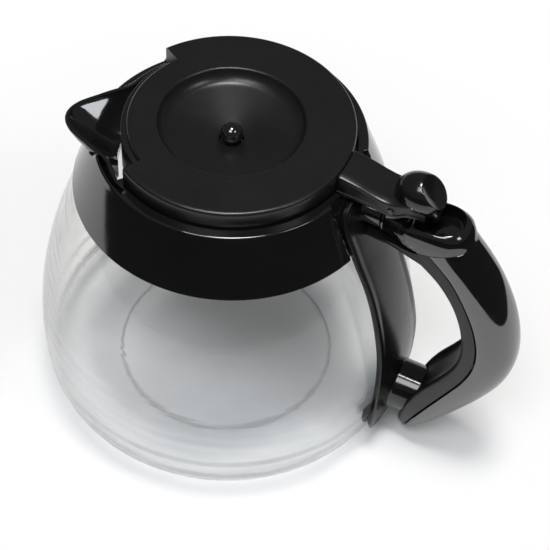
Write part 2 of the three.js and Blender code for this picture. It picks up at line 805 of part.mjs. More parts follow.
const handleLiner = linerBody.subtract(plateShell(-30, plateThickness + plateBorder + fit))
  .subtract(lowerScrewHole);
const shellWithHole = handleShell.subtract(lowerScrewHole);

const lowerStud = rodX(bowlRadius - 6, lowerScrewEnd + 0.8, 0, studHeight, studRadius)
  .subtract(plateKeepOut)
  .subtract(handleKeepOut)
  .subtract(lowerScrewHole);
const lowerScrew = rodX(lowerHeadStart, lowerHeadStart + lowerHeadHeight, 0, studHeight, lowerHeadRadius)
  .add(rodX(lowerHeadStart + lowerHeadHeight - 0.5, lowerScrewEnd, 0, studHeight, screwRadius));

const seamStation = handleStation(0);
const seamFoot = towards(seamStation.seam, seamStation.crest, fit);
const topBody = loft([
  { foot: [topStart - pivotX, -6.4], crest: [topStart - pivotX, 6.4], width: 6.4, split: 0.5 },
  { foot: [3, -5.8], crest: [3.6, 6.6], width: 8.6, split: 0.42 },
  { foot: [7, -5.6], crest: [9, 9], width: 10.4, split: 0.3 },
  { foot: [10.5, -5.3], crest: [17, 10.4], width: 11, split: 0.2 },
  { foot: [13.5, -3.6], crest: [24, 10.2], width: 11.2, split: 0.1 },
  { foot: [16, -2.2], crest: [29.6, 8], width: 11.1, split: 0.05 },
].map(({ foot, crest, width, split }) => archRing(
  [pivotX + foot[0], neckHeight + foot[1]], [pivotX + crest[0], neckHeight + crest[1]], width, split, 0.6,
)).concat([archRing(seamFoot, seamStation.crest, seamStation.width, 0)]));

const scoopShape = new THREE.Shape();
const scoopCorner = 3.2;
const scoopRearCorner = 7.5;
const frontX = scoopFront + scoopCorner;
const frontY = scoopHalfWidth - scoopCorner;
const rearX = scoopRear - scoopRearCorner;
const rearY = scoopHalfWidth - scoopRearCorner;
scoopShape.moveTo(scoopFront, -frontY);
scoopShape.lineTo(scoopFront, frontY);
scoopShape.absarc(frontX, frontY, scoopCorner, Math.PI, Math.PI / 2, true);
scoopShape.absarc(rearX, rearY, scoopRearCorner, Math.PI / 2, 0, true);
scoopShape.absarc(rearX, -rearY, scoopRearCorner, 0, -Math.PI / 2, true);
scoopShape.absarc(frontX, -frontY, scoopCorner, -Math.PI / 2, -Math.PI, true);
const scoopSlope = sideBlock([
  [scoopFront - 2, scoopFloor + 2], [scoopFront + 2.5, scoopFloor], [pivotX + 12, scoopFloor],
  [pivotX + 16, scoopFloor + 3.6], [pivotX + 19, scoopFloor + 5.4], [scoopRear + 4, scoopFloor + 10],
  [scoopRear + 4, lidTop + 20], [scoopFront - 2, lidTop + 20],
], 20);
const scoop = planBlock(scoopShape, scoopFloor - 5, lidTop + 20).intersect(scoopSlope);
const lugHalf = armHalfWidth - armWall - fit;
const lug = box(topStart, pivotX + lugRadius, -lugHalf, lugHalf, neckHeight, pivotHeight)
  .add(rodY(-lugHalf, lugHalf, pivotX, pivotHeight, lugRadius));
const handleTop = topBody.add(lug)
  .subtract(scoop)
  .subtract(linerBody.translate([0, 0, fit]))
  .subtract(rodX(40, upperScrewEnd + fit, 0, neckHeight, screwRadius + fit))
  .subtract(rodY(-20, 20, pivotX, pivotHeight, pinRadius + fit));

// Materials

function surface(color, roughness, metalness = 0) {
  return new THREE.MeshStandardMaterial({ color, roughness, metalness });
}

const glass = () => surface(0xe9eeee, 0.03);
const glossBlack = () => surface(0x0c0c0d, 0.12);
const satinBlack = () => surface(0x151516, 0.32);
const greyLiner = () => surface(0x2b2c2e, 0.45);
const silicone = () => surface(0x1b1b1c, 0.7);
const steel = () => surface(0xb9bbbd, 0.3, 1);

// Assembly

const assembly = new THREE.Group();

function group(name, pieces) {
  const holder = new THREE.Group();
  holder.name = name;
  for (const [pieceName, body, material] of pieces) {
    const mesh = new THREE.Mesh(geometryOf(body), material);
    mesh.name = pieceName;
    holder.add(mesh);
  }
  assembly.add(holder);
}

group('jug', [
  ['glass_bowl', glassBowl, glass()],
  ['collar', collar, glossBlack()],
  ['collar_seal', collarSeal, silicone()],
  ['hinge_pin', hingePin, steel()],
  ['back_plate', backPlate, glossBlack()],
  ['plate_pad', platePad, silicone()],
  ['neck_sleeve', neckSleeve, glossBlack()],
  ['neck_ring', neckRing, glossBlack()],
  ['upper_screw', upperScrew, steel()],
  ['handle_top', handleTop, glossBlack()],
  ['handle_shell', shellWithHole, glossBlack()],
  ['handle_liner', handleLiner, greyLiner()],
  ['lower_stud', lowerStud, glossBlack()],
  ['lower_screw', lowerScrew, steel()],
]);

group('lid', [
  ['lid_cover', lidCover, satinBlack()],
  ['lid_skirt', lidSkirt, satinBlack()],
  ['lid_arm', lidArm, satinBlack()],
  ['arm_screw_near', armScrew(armScrewPlaces[0]), steel()],
  ['arm_screw_far', armScrew(armScrewPlaces[1]), steel()],
  ['thumb_knob', thumbKnob, glossBlack()],
  ['valve_cage', valveCage, satinBlack()],
  ['valve_spring', valveSpring, steel()],
]);

group('valve', [
  ['valve_pin', valvePin, glossBlack()],
  ['valve_seal', valveSeal, silicone()],
]);

export default assembly;
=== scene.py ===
import math

import bmesh
import bpy
from mathutils import Matrix, Vector


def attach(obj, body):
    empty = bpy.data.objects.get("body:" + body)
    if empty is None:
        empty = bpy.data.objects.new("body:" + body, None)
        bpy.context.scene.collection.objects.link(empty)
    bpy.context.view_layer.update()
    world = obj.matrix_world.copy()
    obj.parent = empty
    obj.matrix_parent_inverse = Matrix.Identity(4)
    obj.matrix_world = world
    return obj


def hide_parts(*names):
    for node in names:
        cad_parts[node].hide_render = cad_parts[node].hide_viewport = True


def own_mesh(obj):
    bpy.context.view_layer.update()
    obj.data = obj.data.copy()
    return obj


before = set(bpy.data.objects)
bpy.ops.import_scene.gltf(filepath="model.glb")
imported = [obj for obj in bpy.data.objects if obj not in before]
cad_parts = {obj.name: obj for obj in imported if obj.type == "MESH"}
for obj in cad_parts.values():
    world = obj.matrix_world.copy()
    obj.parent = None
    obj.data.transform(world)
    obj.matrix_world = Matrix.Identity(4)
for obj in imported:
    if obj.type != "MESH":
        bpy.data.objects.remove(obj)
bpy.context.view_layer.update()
scene = bpy.context.scene
scene.view_settings.view_transform = "Standard"
print("frame loaded:", len(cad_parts), "nodes")


# small tools, all in millimetres until a piece is finished

millimetre = 0.001
weld = 1e-4  # points closer than this are one
origin = (0, 0, 0)
upAxis = (0, 0, 1)


def mix(a, b, t):
    return a + (b - a) * t


def mixPoint(p, q, t):
    return mix(p[0], q[0], t), mix(p[1], q[1], t)


def ease(x, start, end):
    t = min(max((x - start) / (end - start), 0.0), 1.0)
    return t * t * (3 - 2 * t)


def turnFrom(angle, centre):  # signed degrees away from a direction
    return (angle - centre + 180) % 360 - 180


def around(r, z, offsets):  # points set off from one place, each with its rounding where it has one
    return [(r + o[0], z + o[1], *o[2:]) for o in offsets]


def bezier(a, b, c, d, count):
    points = []
    for i in range(count + 1):
        t = i / count
        u = 1 - t
        points.append(tuple(
            u * u * u * p + 3 * u * u * t * q + 3 * u * t * t * r + t * t * t * s
            for p, q, r, s in zip(a, b, c, d)))
    return points


def splineAt(points, t):  # smooth curve through the points, t from 0 to 1
    place = min(max(t, 0.0), 1.0) * (len(points) - 1)
    i = min(int(place), len(points) - 2)
    f = place - i
    p0, p1 = points[max(i - 1, 0)], points[i]
    p2, p3 = points[i + 1], points[min(i + 2, len(points) - 1)]
    return tuple(
        0.5 * (2 * b + (c - a) * f + (2 * a - 5 * b + 4 * c - d) * f * f
               + (3 * b - a - 3 * c + d) * f * f * f)
        for a, b, c, d in zip(p0, p1, p2, p3))


def lookUp(table, x):  # smooth value from a short table of (x, value)
    if x <= table[0][0]:
        return table[0][1]
    if x >= table[-1][0]:
        return table[-1][1]
    i = next(k for k in range(len(table) - 1) if table[k + 1][0] >= x)
    (x0, y0), (x1, y1) = table[i], table[i + 1]
    left = table[i - 1] if i else table[i]
    right = table[i + 2] if i + 2 < len(table) else table[i + 1]
    m0 = (y1 - left[1]) / (x1 - left[0])
    m1 = (right[1] - y0) / (right[0] - x0)
    h = x1 - x0
    t = (x - x0) / h
    return ((1 + 2 * t) * (1 - t) ** 2 * y0 + t * (1 - t) ** 2 * h * m0
            + t * t * (3 - 2 * t) * y1 + t * t * (t - 1) * h * m1)


def rounded(corners, closed=True, steps=5):  # corners as (r, z) or (r, z, radius)
    points = []
    count = len(corners)
    reach = 0.49  # share of a side that a rounding may take
    for i, corner in enumerate(corners):
        here = Vector(corner[:2])
        radius = corner[2] if len(corner) > 2 else 0
        if not radius or (not closed and i in (0, count - 1)):
            points.append(tuple(here))
            continue
        before = Vector(corners[i - 1][:2]) - here
        after = Vector(corners[(i + 1) % count][:2]) - here
        half = before.angle(after) / 2
        run = min(radius / math.tan(half), reach * before.length, reach * after.length)
        start = here + before.normalized() * run
        end = here + after.normalized() * run
        for k in range(steps + 1):
            t = k / steps
            points.append(tuple(start * (1 - t) ** 2 + here * (2 * t * (1 - t)) + end * t * t))
    return points


def spin(bm, geom, degrees, steps, merge=False):
    turned = bmesh.ops.spin(bm, geom=geom, cent=origin, axis=upAxis, dvec=origin,
                            angle=math.radians(degrees), steps=steps, use_merge=merge)
    return turned["geom_last"]


def rotate(bm, degrees, axis):
    turn = Matrix.Rotation(math.radians(degrees), 3, axis)
    bmesh.ops.rotate(bm, cent=origin, matrix=turn, verts=bm.verts[:])


def move(bm, shift):
    bmesh.ops.translate(bm, vec=shift, verts=bm.verts[:])


def lathe(points, steps, closed=False):
    bm = bmesh.new()
    verts = [bm.verts.new((r, 0, z)) for r, z in points]
    pairs = list(zip(verts, verts[1:]))
    if closed:
        pairs.append((verts[-1], verts[0]))
    edges = [bm.edges.new(pair) for pair in pairs]
    spin(bm, verts + edges, 360, steps, merge=True)
    bmesh.ops.remove_doubles(bm, verts=bm.verts[:], dist=weld)
    return bm


def latheX(points, height, steps=64):  # points as (radius, x), turned about a line along X
    bm = lathe(points, steps)
    rotate(bm, 90, "Y")
    move(bm, (0, 0, height))
    return bm


def sectionLathe(section, arcs):  # spun in arcs of (start, end, steps), then each ring takes its section
    bm = bmesh.new()
    firstAngle = arcs[0][0]
    firstMark = 10  # the rings are told apart by whole radii until they take their section
    count = len(section(firstAngle))
    marks = [bm.verts.new((firstMark + k, 0, 0)) for k in range(count)]
    geom = marks + [bm.edges.new((marks[k], marks[(k + 1) % count])) for k in range(count)]
    rotate(bm, firstAngle, "Z")
    for start, end, steps in arcs:
        geom = spin(bm, geom, end - start, steps)
    bmesh.ops.remove_doubles(bm, verts=bm.verts[:], dist=10 * weld)
    known = {}
    for v in bm.verts:
        angle = math.degrees(math.atan2(v.co.y, v.co.x)) % 360
        key = round(angle, 3) % 360
        if key not in known:
            known[key] = section(key)
        r, z = known[key][round(math.hypot(v.co.x, v.co.y)) - firstMark]
        turn = math.radians(angle)
        v.co = (r * math.cos(turn), r * math.sin(turn), z)
    bmesh.ops.dissolve_degenerate(bm, dist=weld, edges=bm.edges[:])
    return bm


def sweep(rings):  # one closed ring of points pulled through its stations, closed at both ends
    bm = bmesh.new()
    loop = [bm.verts.new(p) for p in rings[0]]
    edges = [bm.edges.new(pair) for pair in zip(loop, loop[1:] + loop[:1])]
    bmesh.ops.contextual_create(bm, geom=edges)
    for ring in rings[1:]:
        pulled = bmesh.ops.extrude_edge_only(bm, edges=edges)
        fresh = {g for g in pulled["geom"] if isinstance(g, bmesh.types.BMVert)}
        loop = [next(e.other_vert(v) for e in v.link_edges if e.other_vert(v) in fresh) for v in loop]
        for v, p in zip(loop, ring):
            v.co = p
        edges = [bm.edges.get(pair) for pair in zip(loop, loop[1:] + loop[:1])]
    bmesh.ops.contextual_create(bm, geom=edges)
    return bm


def shrunkRing(ring, share, shift):  # a copy drawn in about its middle, for eased ends
    points = [Vector(p) for p in ring]
    centre = sum(points, Vector()) / len(points)
    return [tuple(centre + (p - centre) * share + Vector(shift)) for p in points]


def piece(name, bm, material, body, nodes, sharp, bevel=0):
    bmesh.ops.remove_doubles(bm, verts=bm.verts[:], dist=weld)
    bmesh.ops.recalc_face_normals(bm, faces=bm.faces[:])
    bmesh.ops.scale(bm, vec=(millimetre, millimetre, millimetre), verts=bm.verts[:])
    mesh = bpy.data.meshes.new(name)
    bm.to_mesh(mesh)
    bm.free()
    mesh.shade_smooth()
    mesh.set_sharp_from_angle(angle=math.radians(sharp))
    mesh.materials.append(material)
    obj = bpy.data.objects.new(name, mesh)
    scene.collection.objects.link(obj)
    if bevel:
        edge = obj.modifiers.new("edge", "BEVEL")
        edge.width = bevel * millimetre
        edge.segments = 3
        edge.limit_method = "ANGLE"
        edge.angle_limit = math.radians(sharp)
    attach(obj, body)
    if nodes:
        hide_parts(*nodes)
    return obj


# finishes

def finish(name, color, roughness, sockets):
    material = bpy.data.materials.new(name)
    material.use_nodes = True
    tree = material.node_tree
    shader = tree.nodes["Principled BSDF"]
    shader.inputs["Base Color"].default_value = (*color, 1)
    shader.inputs["Roughness"].default_value = roughness
    for key, value in sockets.items():
        shader.inputs[key].default_value = value
    return material, tree, shader


def feed(tree, socket, value):  # a number or a colour is set, another node's output is linked
    if isinstance(value, (int, float)):
        socket.default_value = value
    elif isinstance(value, tuple):
        socket.default_value = (*value, 1)
    else:
        tree.links.new(value, socket)


def mathOn(tree, operation, *values):
    node = tree.nodes.new("ShaderNodeMath")
    node.operation = operation
    for socket, value in zip(node.inputs, values):
        feed(tree, socket, value)
    return node.outputs["Value"]


def lengthOf(tree, vector):
    node = tree.nodes.new("ShaderNodeVectorMath")
    node.operation = "LENGTH"
    tree.links.new(vector, node.inputs["Vector"])
    return node.outputs["Value"]


def mapRange(tree, source, fromMin, fromMax, toMin=0, toMax=1):
    node = tree.nodes.new("ShaderNodeMapRange")
    limits = {"From Min": fromMin, "From Max": fromMax, "To Min": toMin, "To Max": toMax}
    for key, value in limits.items():
        node.inputs[key].default_value = value
    tree.links.new(source, node.inputs["Value"])
    return node.outputs["Result"]


def mixColor(tree, first, second, share):
    node = tree.nodes.new("ShaderNodeMix")
    node.data_type = "RGBA"
    feed(tree, node.inputs["A"], first)
    feed(tree, node.inputs["B"], second)
    tree.links.new(share, node.inputs["Factor"])
    return node.outputs["Result"]


def mixSurface(tree, first, second, share):
    node = tree.nodes.new("ShaderNodeMixShader")
    tree.links.new(share, node.inputs["Fac"])
    tree.links.new(first, node.inputs[1])
    tree.links.new(second, node.inputs[2])
    tree.links.new(node.outputs["Shader"], tree.nodes["Material Output"].inputs["Surface"])


def facing(tree, blend):  # 0 where the surface is seen square on, 1 at its edge
    node = tree.nodes.new("ShaderNodeLayerWeight")
    node.inputs["Blend"].default_value = blend
    return node.outputs["Facing"]


def noiseOn(tree, scale, detail, stretch=(1, 1, 1), roughness=0.5):
    coords = tree.nodes.new("ShaderNodeTexCoord")
    mapping = tree.nodes.new("ShaderNodeMapping")
    mapping.inputs["Scale"].default_value = stretch
    noise = tree.nodes.new("ShaderNodeTexNoise")
    noise.inputs["Scale"].default_value = scale
    noise.inputs["Detail"].default_value = detail
    noise.inputs["Roughness"].default_value = roughness
    tree.links.new(coords.outputs["Object"], mapping.inputs["Vector"])
    tree.links.new(mapping.outputs["Vector"], noise.inputs["Vector"])
    return noise.outputs["Fac"]


noiseLow = 0.3  # most of a noise lies between these two
noiseHigh = 0.7


def spread(tree, noise, low, high):
    return mapRange(tree, noise, noiseLow, noiseHigh, low, high)


def bumpOn(tree, source, strength, distance, shader, after=None):
    bump = tree.nodes.new("ShaderNodeBump")
    bump.inputs["Strength"].default_value = strength
    bump.inputs["Distance"].default_value = distance
    tree.links.new(source, bump.inputs["Height"])
    if after:
        tree.links.new(after, bump.inputs["Normal"])
    tree.links.new(bump.outputs["Normal"], shader.inputs["Normal"])
    return bump.outputs["Normal"]


skin = dict(cloudScale=38, cloudDetail=4,
            smearScale=60, smearDetail=6, smearStretch=(1, 1, 0.6), smearRough=0.65,
            waveScale=90, waveDetail=2, waveDepth=0.0006, grainDetail=3, grainDepth=0.00006)


def plastic(name, color, lighter, smooth, dull, flow, grain, grainScale, ior):
    s = skin
    material, tree, shader = finish(name, color, smooth, {"IOR": ior})
    cloud = noiseOn(tree, s["cloudScale"], s["cloudDetail"])
    tint = mixColor(tree, color, lighter, spread(tree, cloud, 0, 1))
    tree.links.new(tint, shader.inputs["Base Color"])
    smear = noiseOn(tree, s["smearScale"], s["smearDetail"], s["smearStretch"], s["smearRough"])
    tree.links.new(spread(tree, smear, smooth, dull), shader.inputs["Roughness"])
    melt = noiseOn(tree, s["waveScale"], s["waveDetail"])  # slow waviness of a moulded skin
    wave = bumpOn(tree, melt, flow, s["waveDepth"], shader)
    texture = noiseOn(tree, grainScale, s["grainDetail"])
    bumpOn(tree, texture, grain, s["grainDepth"], shader, wave)
    return material


glossBlack = plastic("gloss_black", color=(0.005, 0.005, 0.0055), lighter=(0.0065, 0.0065, 0.007),
                     smooth=0.05, dull=0.1, flow=0.04, grain=0.02, grainScale=900, ior=1.85)
satinBlack = plastic("satin_black", color=(0.0075, 0.0075, 0.0078), lighter=(0.0095, 0.0095, 0.0098),
                     smooth=0.27, dull=0.34, flow=0.03, grain=0.12, grainScale=2600, ior=1.47)
knobBlack = plastic("knob_black", color=(0.006, 0.006, 0.0062), lighter=(0.008, 0.008, 0.0082),
                    smooth=0.12, dull=0.18, flow=0.04, grain=0.04, grainScale=1600, ior=1.6)
shellBlack = plastic("shell_black", color=(0.005, 0.005, 0.0055), lighter=(0.0065, 0.0065, 0.007),
                     smooth=0.05, dull=0.1, flow=0.04, grain=0.02, grainScale=900, ior=2.15)
greyLiner = plastic("grey_liner", color=(0.0065, 0.0067, 0.0072), lighter=(0.0085, 0.0088, 0.0094),
                    smooth=0.34, dull=0.44, flow=0.04, grain=0.18, grainScale=2200, ior=1.45)
plateBlack = plastic("plate_black", color=(0.007, 0.007, 0.0073), lighter=(0.0095, 0.0095, 0.0098),
                     smooth=0.2, dull=0.28, flow=0.03, grain=0.06, grainScale=1800, ior=1.32)
silicone = plastic("silicone", color=(0.012, 0.012, 0.012), lighter=(0.019, 0.019, 0.019),
                   smooth=0.55, dull=0.7, flow=0.05, grain=0.2, grainScale=1500, ior=1.42)

steelLook = dict(color=(0.56, 0.57, 0.58), drawnScale=700, drawnDetail=3, drawnStretch=(1, 1, 0.1),
                 smooth=0.22, dull=0.38, grain=0.12, grainDepth=0.00004)


def brushedSteel():
    s = steelLook
    material, tree, shader = finish("steel", s["color"], s["smooth"], {"Metallic": 1.0})
    drawn = noiseOn(tree, s["drawnScale"], s["drawnDetail"], s["drawnStretch"])
    tree.links.new(spread(tree, drawn, s["smooth"], s["dull"]), shader.inputs["Roughness"])
    bumpOn(tree, drawn, s["grain"], s["grainDepth"], shader)
    return material


steel = brushedSteel()

# lengths here are in metres, as the coordinates that the material reads
# clear is the glass's own loss of light, and its slight warm cast is a painted reflection of the room
glassLook = dict(clear=(0.95, 0.946, 0.935), ior=1.47,
                 ringDetail=3, ringStretch=(13, 13, 330), ringRough=0.6, ringBump=0.035, ringDepth=0.0012,
                 swellScale=22, swellDetail=2, swellStretch=(1, 1, 0.5), swellBump=0.03, swellDepth=0.002,
                 # the streak tint is a painted reflection, darker in rings on the lower glass
                 paintedStreak=(0.76, 0.772, 0.78), paintedStreakTop=0.075, paintedStreakFull=0.03,
                 # the foot ring and heel lines are painted shade for the thick glass's refraction
                 footRing=(0.0466, 0.0007, 0.58), heelHigh=(0.023, 0.0009, 0.5),
                 heelLow=(0.0125, 0.0016, 0.42),
                 # edge is the glass's colour seen edge on, darkened partly by path length and partly as
                 # painted shade
                 edge=(0.34, 0.345, 0.35), edgeBlend=0.4, edgeStart=0.42, edgeFull=0.88,
                 shadeFlat=(0.91, 0.915, 0.92), shadeSteep=(0.6, 0.61, 0.62), shadeBlend=0.25)


def clearGlass():
    g = glassLook
    sockets = {"IOR": g["ior"], "Transmission Weight": 1.0}
    material, tree, shader = finish("clear_glass", g["clear"], 0.0, sockets)
    rings = noiseOn(tree, 1, g["ringDetail"], g["ringStretch"], g["ringRough"])  # rings round the blown wall
    slow = bumpOn(tree, rings, g["ringBump"], g["ringDepth"], shader)
    swell = noiseOn(tree, g["swellScale"], g["swellDetail"], g["swellStretch"])
    bumpOn(tree, swell, g["swellBump"], g["swellDepth"], shader, slow)
    coords = tree.nodes.new("ShaderNodeTexCoord")
    split = tree.nodes.new("ShaderNodeSeparateXYZ")
    tree.links.new(coords.outputs["Object"], split.inputs["Vector"])
    height = split.outputs["Z"]
    low = mapRange(tree, height, g["paintedStreakTop"], g["paintedStreakFull"])  # painted streaks of reflection follow the rings, on the lower half only
    paintedStreak = mathOn(tree, "MULTIPLY", low, spread(tree, rings, 0, 1))
    color = mixColor(tree, g["clear"], g["paintedStreak"], paintedStreak)
    flat = tree.nodes.new("ShaderNodeCombineXYZ")
    tree.links.new(split.outputs["X"], flat.inputs["X"])
    tree.links.new(split.outputs["Y"], flat.inputs["Y"])
    radius = lengthOf(tree, flat.outputs["Vector"])
    lines = ((radius, g["footRing"]), (height, g["heelHigh"]), (height, g["heelLow"]))
    for source, (place, width, shade) in lines:  # painted dark lines at the foot ring and the heel, shade for the light that the thick glass there bends away
        line = mathOn(tree, "COMPARE", source, place, width)
        color = mixColor(tree, color, (shade, shade, shade), line)
    # seen edge on, the glass is painted darker: partly its longer path, partly painted shade for the dark
    # surroundings seen through the edge
    deep = mapRange(tree, facing(tree, g["edgeBlend"]), g["edgeStart"], g["edgeFull"])
    tree.links.new(mixColor(tree, color, g["edge"], deep), shader.inputs["Base Color"])
    # the wall's steep edges shade the floor more
    shadow = mixColor(tree, g["shadeFlat"], g["shadeSteep"], facing(tree, g["shadeBlend"]))
    through = tree.nodes.new("ShaderNodeBsdfTransparent")
    tree.links.new(shadow, through.inputs["Color"])
    path = tree.nodes.new("ShaderNodeLightPath")
    mixSurface(tree, shader.outputs["BSDF"], through.outputs["BSDF"], path.outputs["Is Shadow Ray"])
    return material


glassClear = clearGlass()
print("finishes ready")


# glass bowl

bowl = dict(baseRadius=57, bowlRadius=79.8, bowlHeight=30, shoulderRadius=60.4, shoulder=110,
            mouthRadius=52.2, mouth=117.8, heelOut=76.4, heelUp=4.5, bellyUp=58, shoulderPull=(71.2, 86),
            neckIn=(58, 115.3), neckOut=(52.8, 114), heelSteps=26, bellySteps=30, neckSteps=10, steps=160,
            wall=2.4, floor=3.6, stepRadius=46.6, stepRun=1.5, stepSlope=1, stepRound=0.6, rimRise=1.1,
            hollow=0.4, hollowIn=9, hollowOut=6, hollowLip=0.05)


def glassLine():
    b = bowl
    foot, belly = (b["baseRadius"], 0), (b["bowlRadius"], b["bowlHeight"])
    shoulder, mouth = (b["shoulderRadius"], b["shoulder"]), (b["mouthRadius"], b["mouth"])
    line = bezier(foot, (b["heelOut"], 0), (b["bowlRadius"], b["heelUp"]), belly, b["heelSteps"])
    line += bezier(belly, (b["bowlRadius"], b["bellyUp"]), b["shoulderPull"], shoulder, b["bellySteps"])[1:]
    line += bezier(shoulder, b["neckIn"], b["neckOut"], mouth, b["neckSteps"])[1:]
    return line


def offsetLine(line, distance):
    moved = []
    for i, (r, z) in enumerate(line):
        before, after = line[max(i - 1, 0)], line[min(i + 1, len(line) - 1)]
        along = Vector((after[0] - before[0], after[1] - before[1])).normalized()
        moved.append((r + distance * along.y, z - distance * along.x))
    return moved


outerGlass = glassLine()


def glassRadius(height):
    i = next(k for k in range(len(outerGlass)) if outerGlass[k][1] >= height)
    (r0, z0), (r1, z1) = outerGlass[i - 1], outerGlass[i]
    return r0 + (r1 - r0) * (height - z0) / (z1 - z0)


def makeGlass():
    b = bowl
    inner = offsetLine(outerGlass, -b["wall"])
    mouthOut, mouthIn = Vector(outerGlass[-1]), Vector(inner[-1])
    rim = [tuple(mouthOut * (1 - t) + mouthIn * t + Vector((0, b["rimRise"] * math.sin(math.pi * t))))
           for t in (0.2, 0.4, 0.6, 0.8)]  # fire-rounded mouth
    stepOut = b["stepRadius"] + b["stepRun"]
    inside = [p for p in reversed(inner) if p[0] > stepOut]
    floor = rounded([(stepOut, b["wall"]), (b["stepRadius"], b["wall"], b["stepRound"]),
                     (b["stepRadius"] - b["stepSlope"], b["floor"], b["stepRound"]),
                     (0, b["floor"])], closed=False)
    base = [(0, b["hollow"]), (b["baseRadius"] - b["hollowIn"], b["hollow"]),
            (b["baseRadius"] - b["hollowOut"], b["hollowLip"])]
    bm = lathe(base + outerGlass + rim + inside + floor, b["steps"])
    return piece("glass_body", bm, glassClear, "jug", ["glass_bowl"], sharp=60)


makeGlass()
print("glass bowl made")


# back plate line, shared by the collar's recess and the plate

plate = dict(gap=0.5, thickness=2, border=0.5, borderWidth=3.2, borderStep=0.5, bottom=7.5, top=132.3,
             topRadius=52.6, bend=104, rows=96, columns=28, firstRow=0.035, lastRow=0.975, endSlope=1.6,
             endInset=0.4, softDrop=0.35, softWidth=0.6,
             sides=[(0, 132.3), (8, 131.5), (15.3, 126), (16, 110), (15.8, 90), (17, 72), (18.4, 56),
                    (20.4, 43), (22, 30), (22, 17), (17, 9.5), (0, 7.5)])


def plateRadius(height):
    if height <= plate["bend"]:
        return glassRadius(height) + plate["gap"]
    start = glassRadius(plate["bend"]) + plate["gap"]
    share = (height - plate["bend"]) / (plate["top"] - plate["bend"])
    return mix(start, plate["topRadius"], share)


# collar, with the spout drawn out of it

collar = dict(bottom=110, top=135.3, bottomRadius=62.5, topRadius=53.3, bore=48.9, shelf=131,
              shelfRadius=45.2, groove=119.6, grooveRadius=52.6, innerLip=46.9, innerFoot=115.8,
              footRound=0.6, topRound=0.7,
              flatOut=1.1, flatIn=0.85, flatSteps=6, shelfRound=0.3, shelfLip=0.4,
              footEdge=[(-0.8, 0), (-0.25, 0.15), (0, 0.6)],
              rimEdge=[(0.05, -0.75), (-0.15, -0.25), (-0.45, -0.05), (-0.75, 0), (-1, 0)],
              boreEdge=[(0.75, 0), (0.62, 0), (0.5, 0), (0.12, -0.12), (0, -0.5)],
              glassSeat=[(52.9, 117.8), (54.2, 115.4), (58.4, 113.2), (60.2, 111), (60.8, 110)],
              wallLevels=[112, 114, 115.7, 117, 118.5, 120, 121.5, 123, 124.2, 125.3, 126.5, 128, 129.5, 131,
                          132.2, 133.4],
              boreLevels=[134.2, 133.4, 132.6, 131.8],
              seatTurn=24, seatHalf=17.2, seatGap=0.3, notchHalf=9.6, notchRadius=50, notchFloor=131.9,
              cutSoft=0.8, fineHalf=56, fineSteps=224, nearSteps=58, backHalf=26, backSteps=104, farSteps=88)
spout = dict(angle=195.5, lip=132.6, pourRadius=47.4, pourHalf=36, pourSoft=1, sillRadius=44.2, sillHalf=21,
             sillIn=1, sillOut=3, ledge=48.7, grooveRadius=52.2, grooveLow=128.2, beakStart=17, beakEnd=24.5,
             nearStart=38, nearEnd=50.5, farStart=49.5, farEnd=52, farTop=127.2, farFoot=1.6, farRound=0.6,
             skinGap=1.2, skinIn=0.12, skinSteps=12, rootIn=2, rootSteps=60, rootRound=0.1,
             lipDepth=0.6, pourFall=2, ledgeFall=0.8, channelFall=1.2, channelStart=19, channelEnd=27,
             wallDrop=1.2, wallFoot=1.6, wallOut=0.2, wallEdge=[(0.05, 0.7)],
             plan=[(0, 66), (1.3, 65.95), (3.9, 65.1), (6.8, 63.3), (9.5, 60.9), (12.7, 58), (17.8, 54.3),
                   (22.3, 51.3), (25.5, 50.15), (29, 49.8), (60, 49.8)],
             inPlan=[(0, 64.2), (1.9, 64), (4.8, 62.6), (7.3, 60.5), (10.6, 57.5), (15.7, 53.4),
                     (20.4, 50.2), (24.5, 48.3), (28, 47.8), (34, 47.9), (38, 48.5), (60, 48.5)],
             keel=[(47, 10.6), (51.7, 10.6), (56.7, 9.6), (60, 7.4), (62.4, 5.2), (65.1, 3.2), (66, 2.1)],
             channel=[(42, 13.4), (44.2, 12.6), (47.4, 11.4), (51.7, 9), (56.7, 6.2), (60, 4.2), (62, 2.8),
                      (64.2, 1.2)],
             half=[(43, 22.5), (47.4, 19.6), (51.7, 16.6), (56.7, 12.8), (60, 10), (62.4, 7.4), (65.1, 4.4),
                   (66, 1.4)],
             inHalf=[(42, 21), (47.4, 17.6), (51.7, 14.5), (56.7, 10.6), (60, 7.7), (62, 5.2), (64.2, 2)],
             skinShape=[(0, 1), (0.2, 0.95), (0.55, 0.68), (0.85, 0.4), (1, 0.22)],
             channelShape=[(0, 1), (0.2, 0.92), (0.55, 0.6), (0.85, 0.24), (1, 0.04)],
             nearRim=[(0.05, -0.75), (-0.12, -0.3), (-0.4, -0.05), (-0.75, -0.05), (-1, -0.35)],
             farRim=[(0, -0.3), (-0.15, -0.1), (-0.5, 0), (-1, 0), (-1.6, 0)],
             farRise=[(0.3, 0), (0.6, 0), (0.85, 0), (0.96, 0.1), (1, 0.6), (1, 2), (1, 3.6)],
             grooveFall=[(0, -1.3), (0.05, -3.8)],
             grooveRise=[(0.12, 1), (0.35, 0), (0.7, 0), (0.95, 1), (1, 2.6)],
             lipOut=[(0, -0.75), (-0.08, -0.25), (-0.4, 0)], lipIn=[(0.35, 0), (0, -0.45)])


def wallRadius(height):
    c = collar
    start, end = c["bottom"] + c["footRound"], c["top"] - c["topRound"]
    return mix(c["bottomRadius"], c["topRadius"], (height - start) / (end - start))


def beakHeight(r, delta, depths, halves, shape):  # the beak's skin or channel below the lip
    along = r * math.cos(math.radians(delta))
    across = abs(r * math.sin(math.radians(delta)))
    share = min(across / lookUp(spout[halves], along), 1)
    return spout["lip"] - lookUp(spout[depths], along) * lookUp(spout[shape], share)


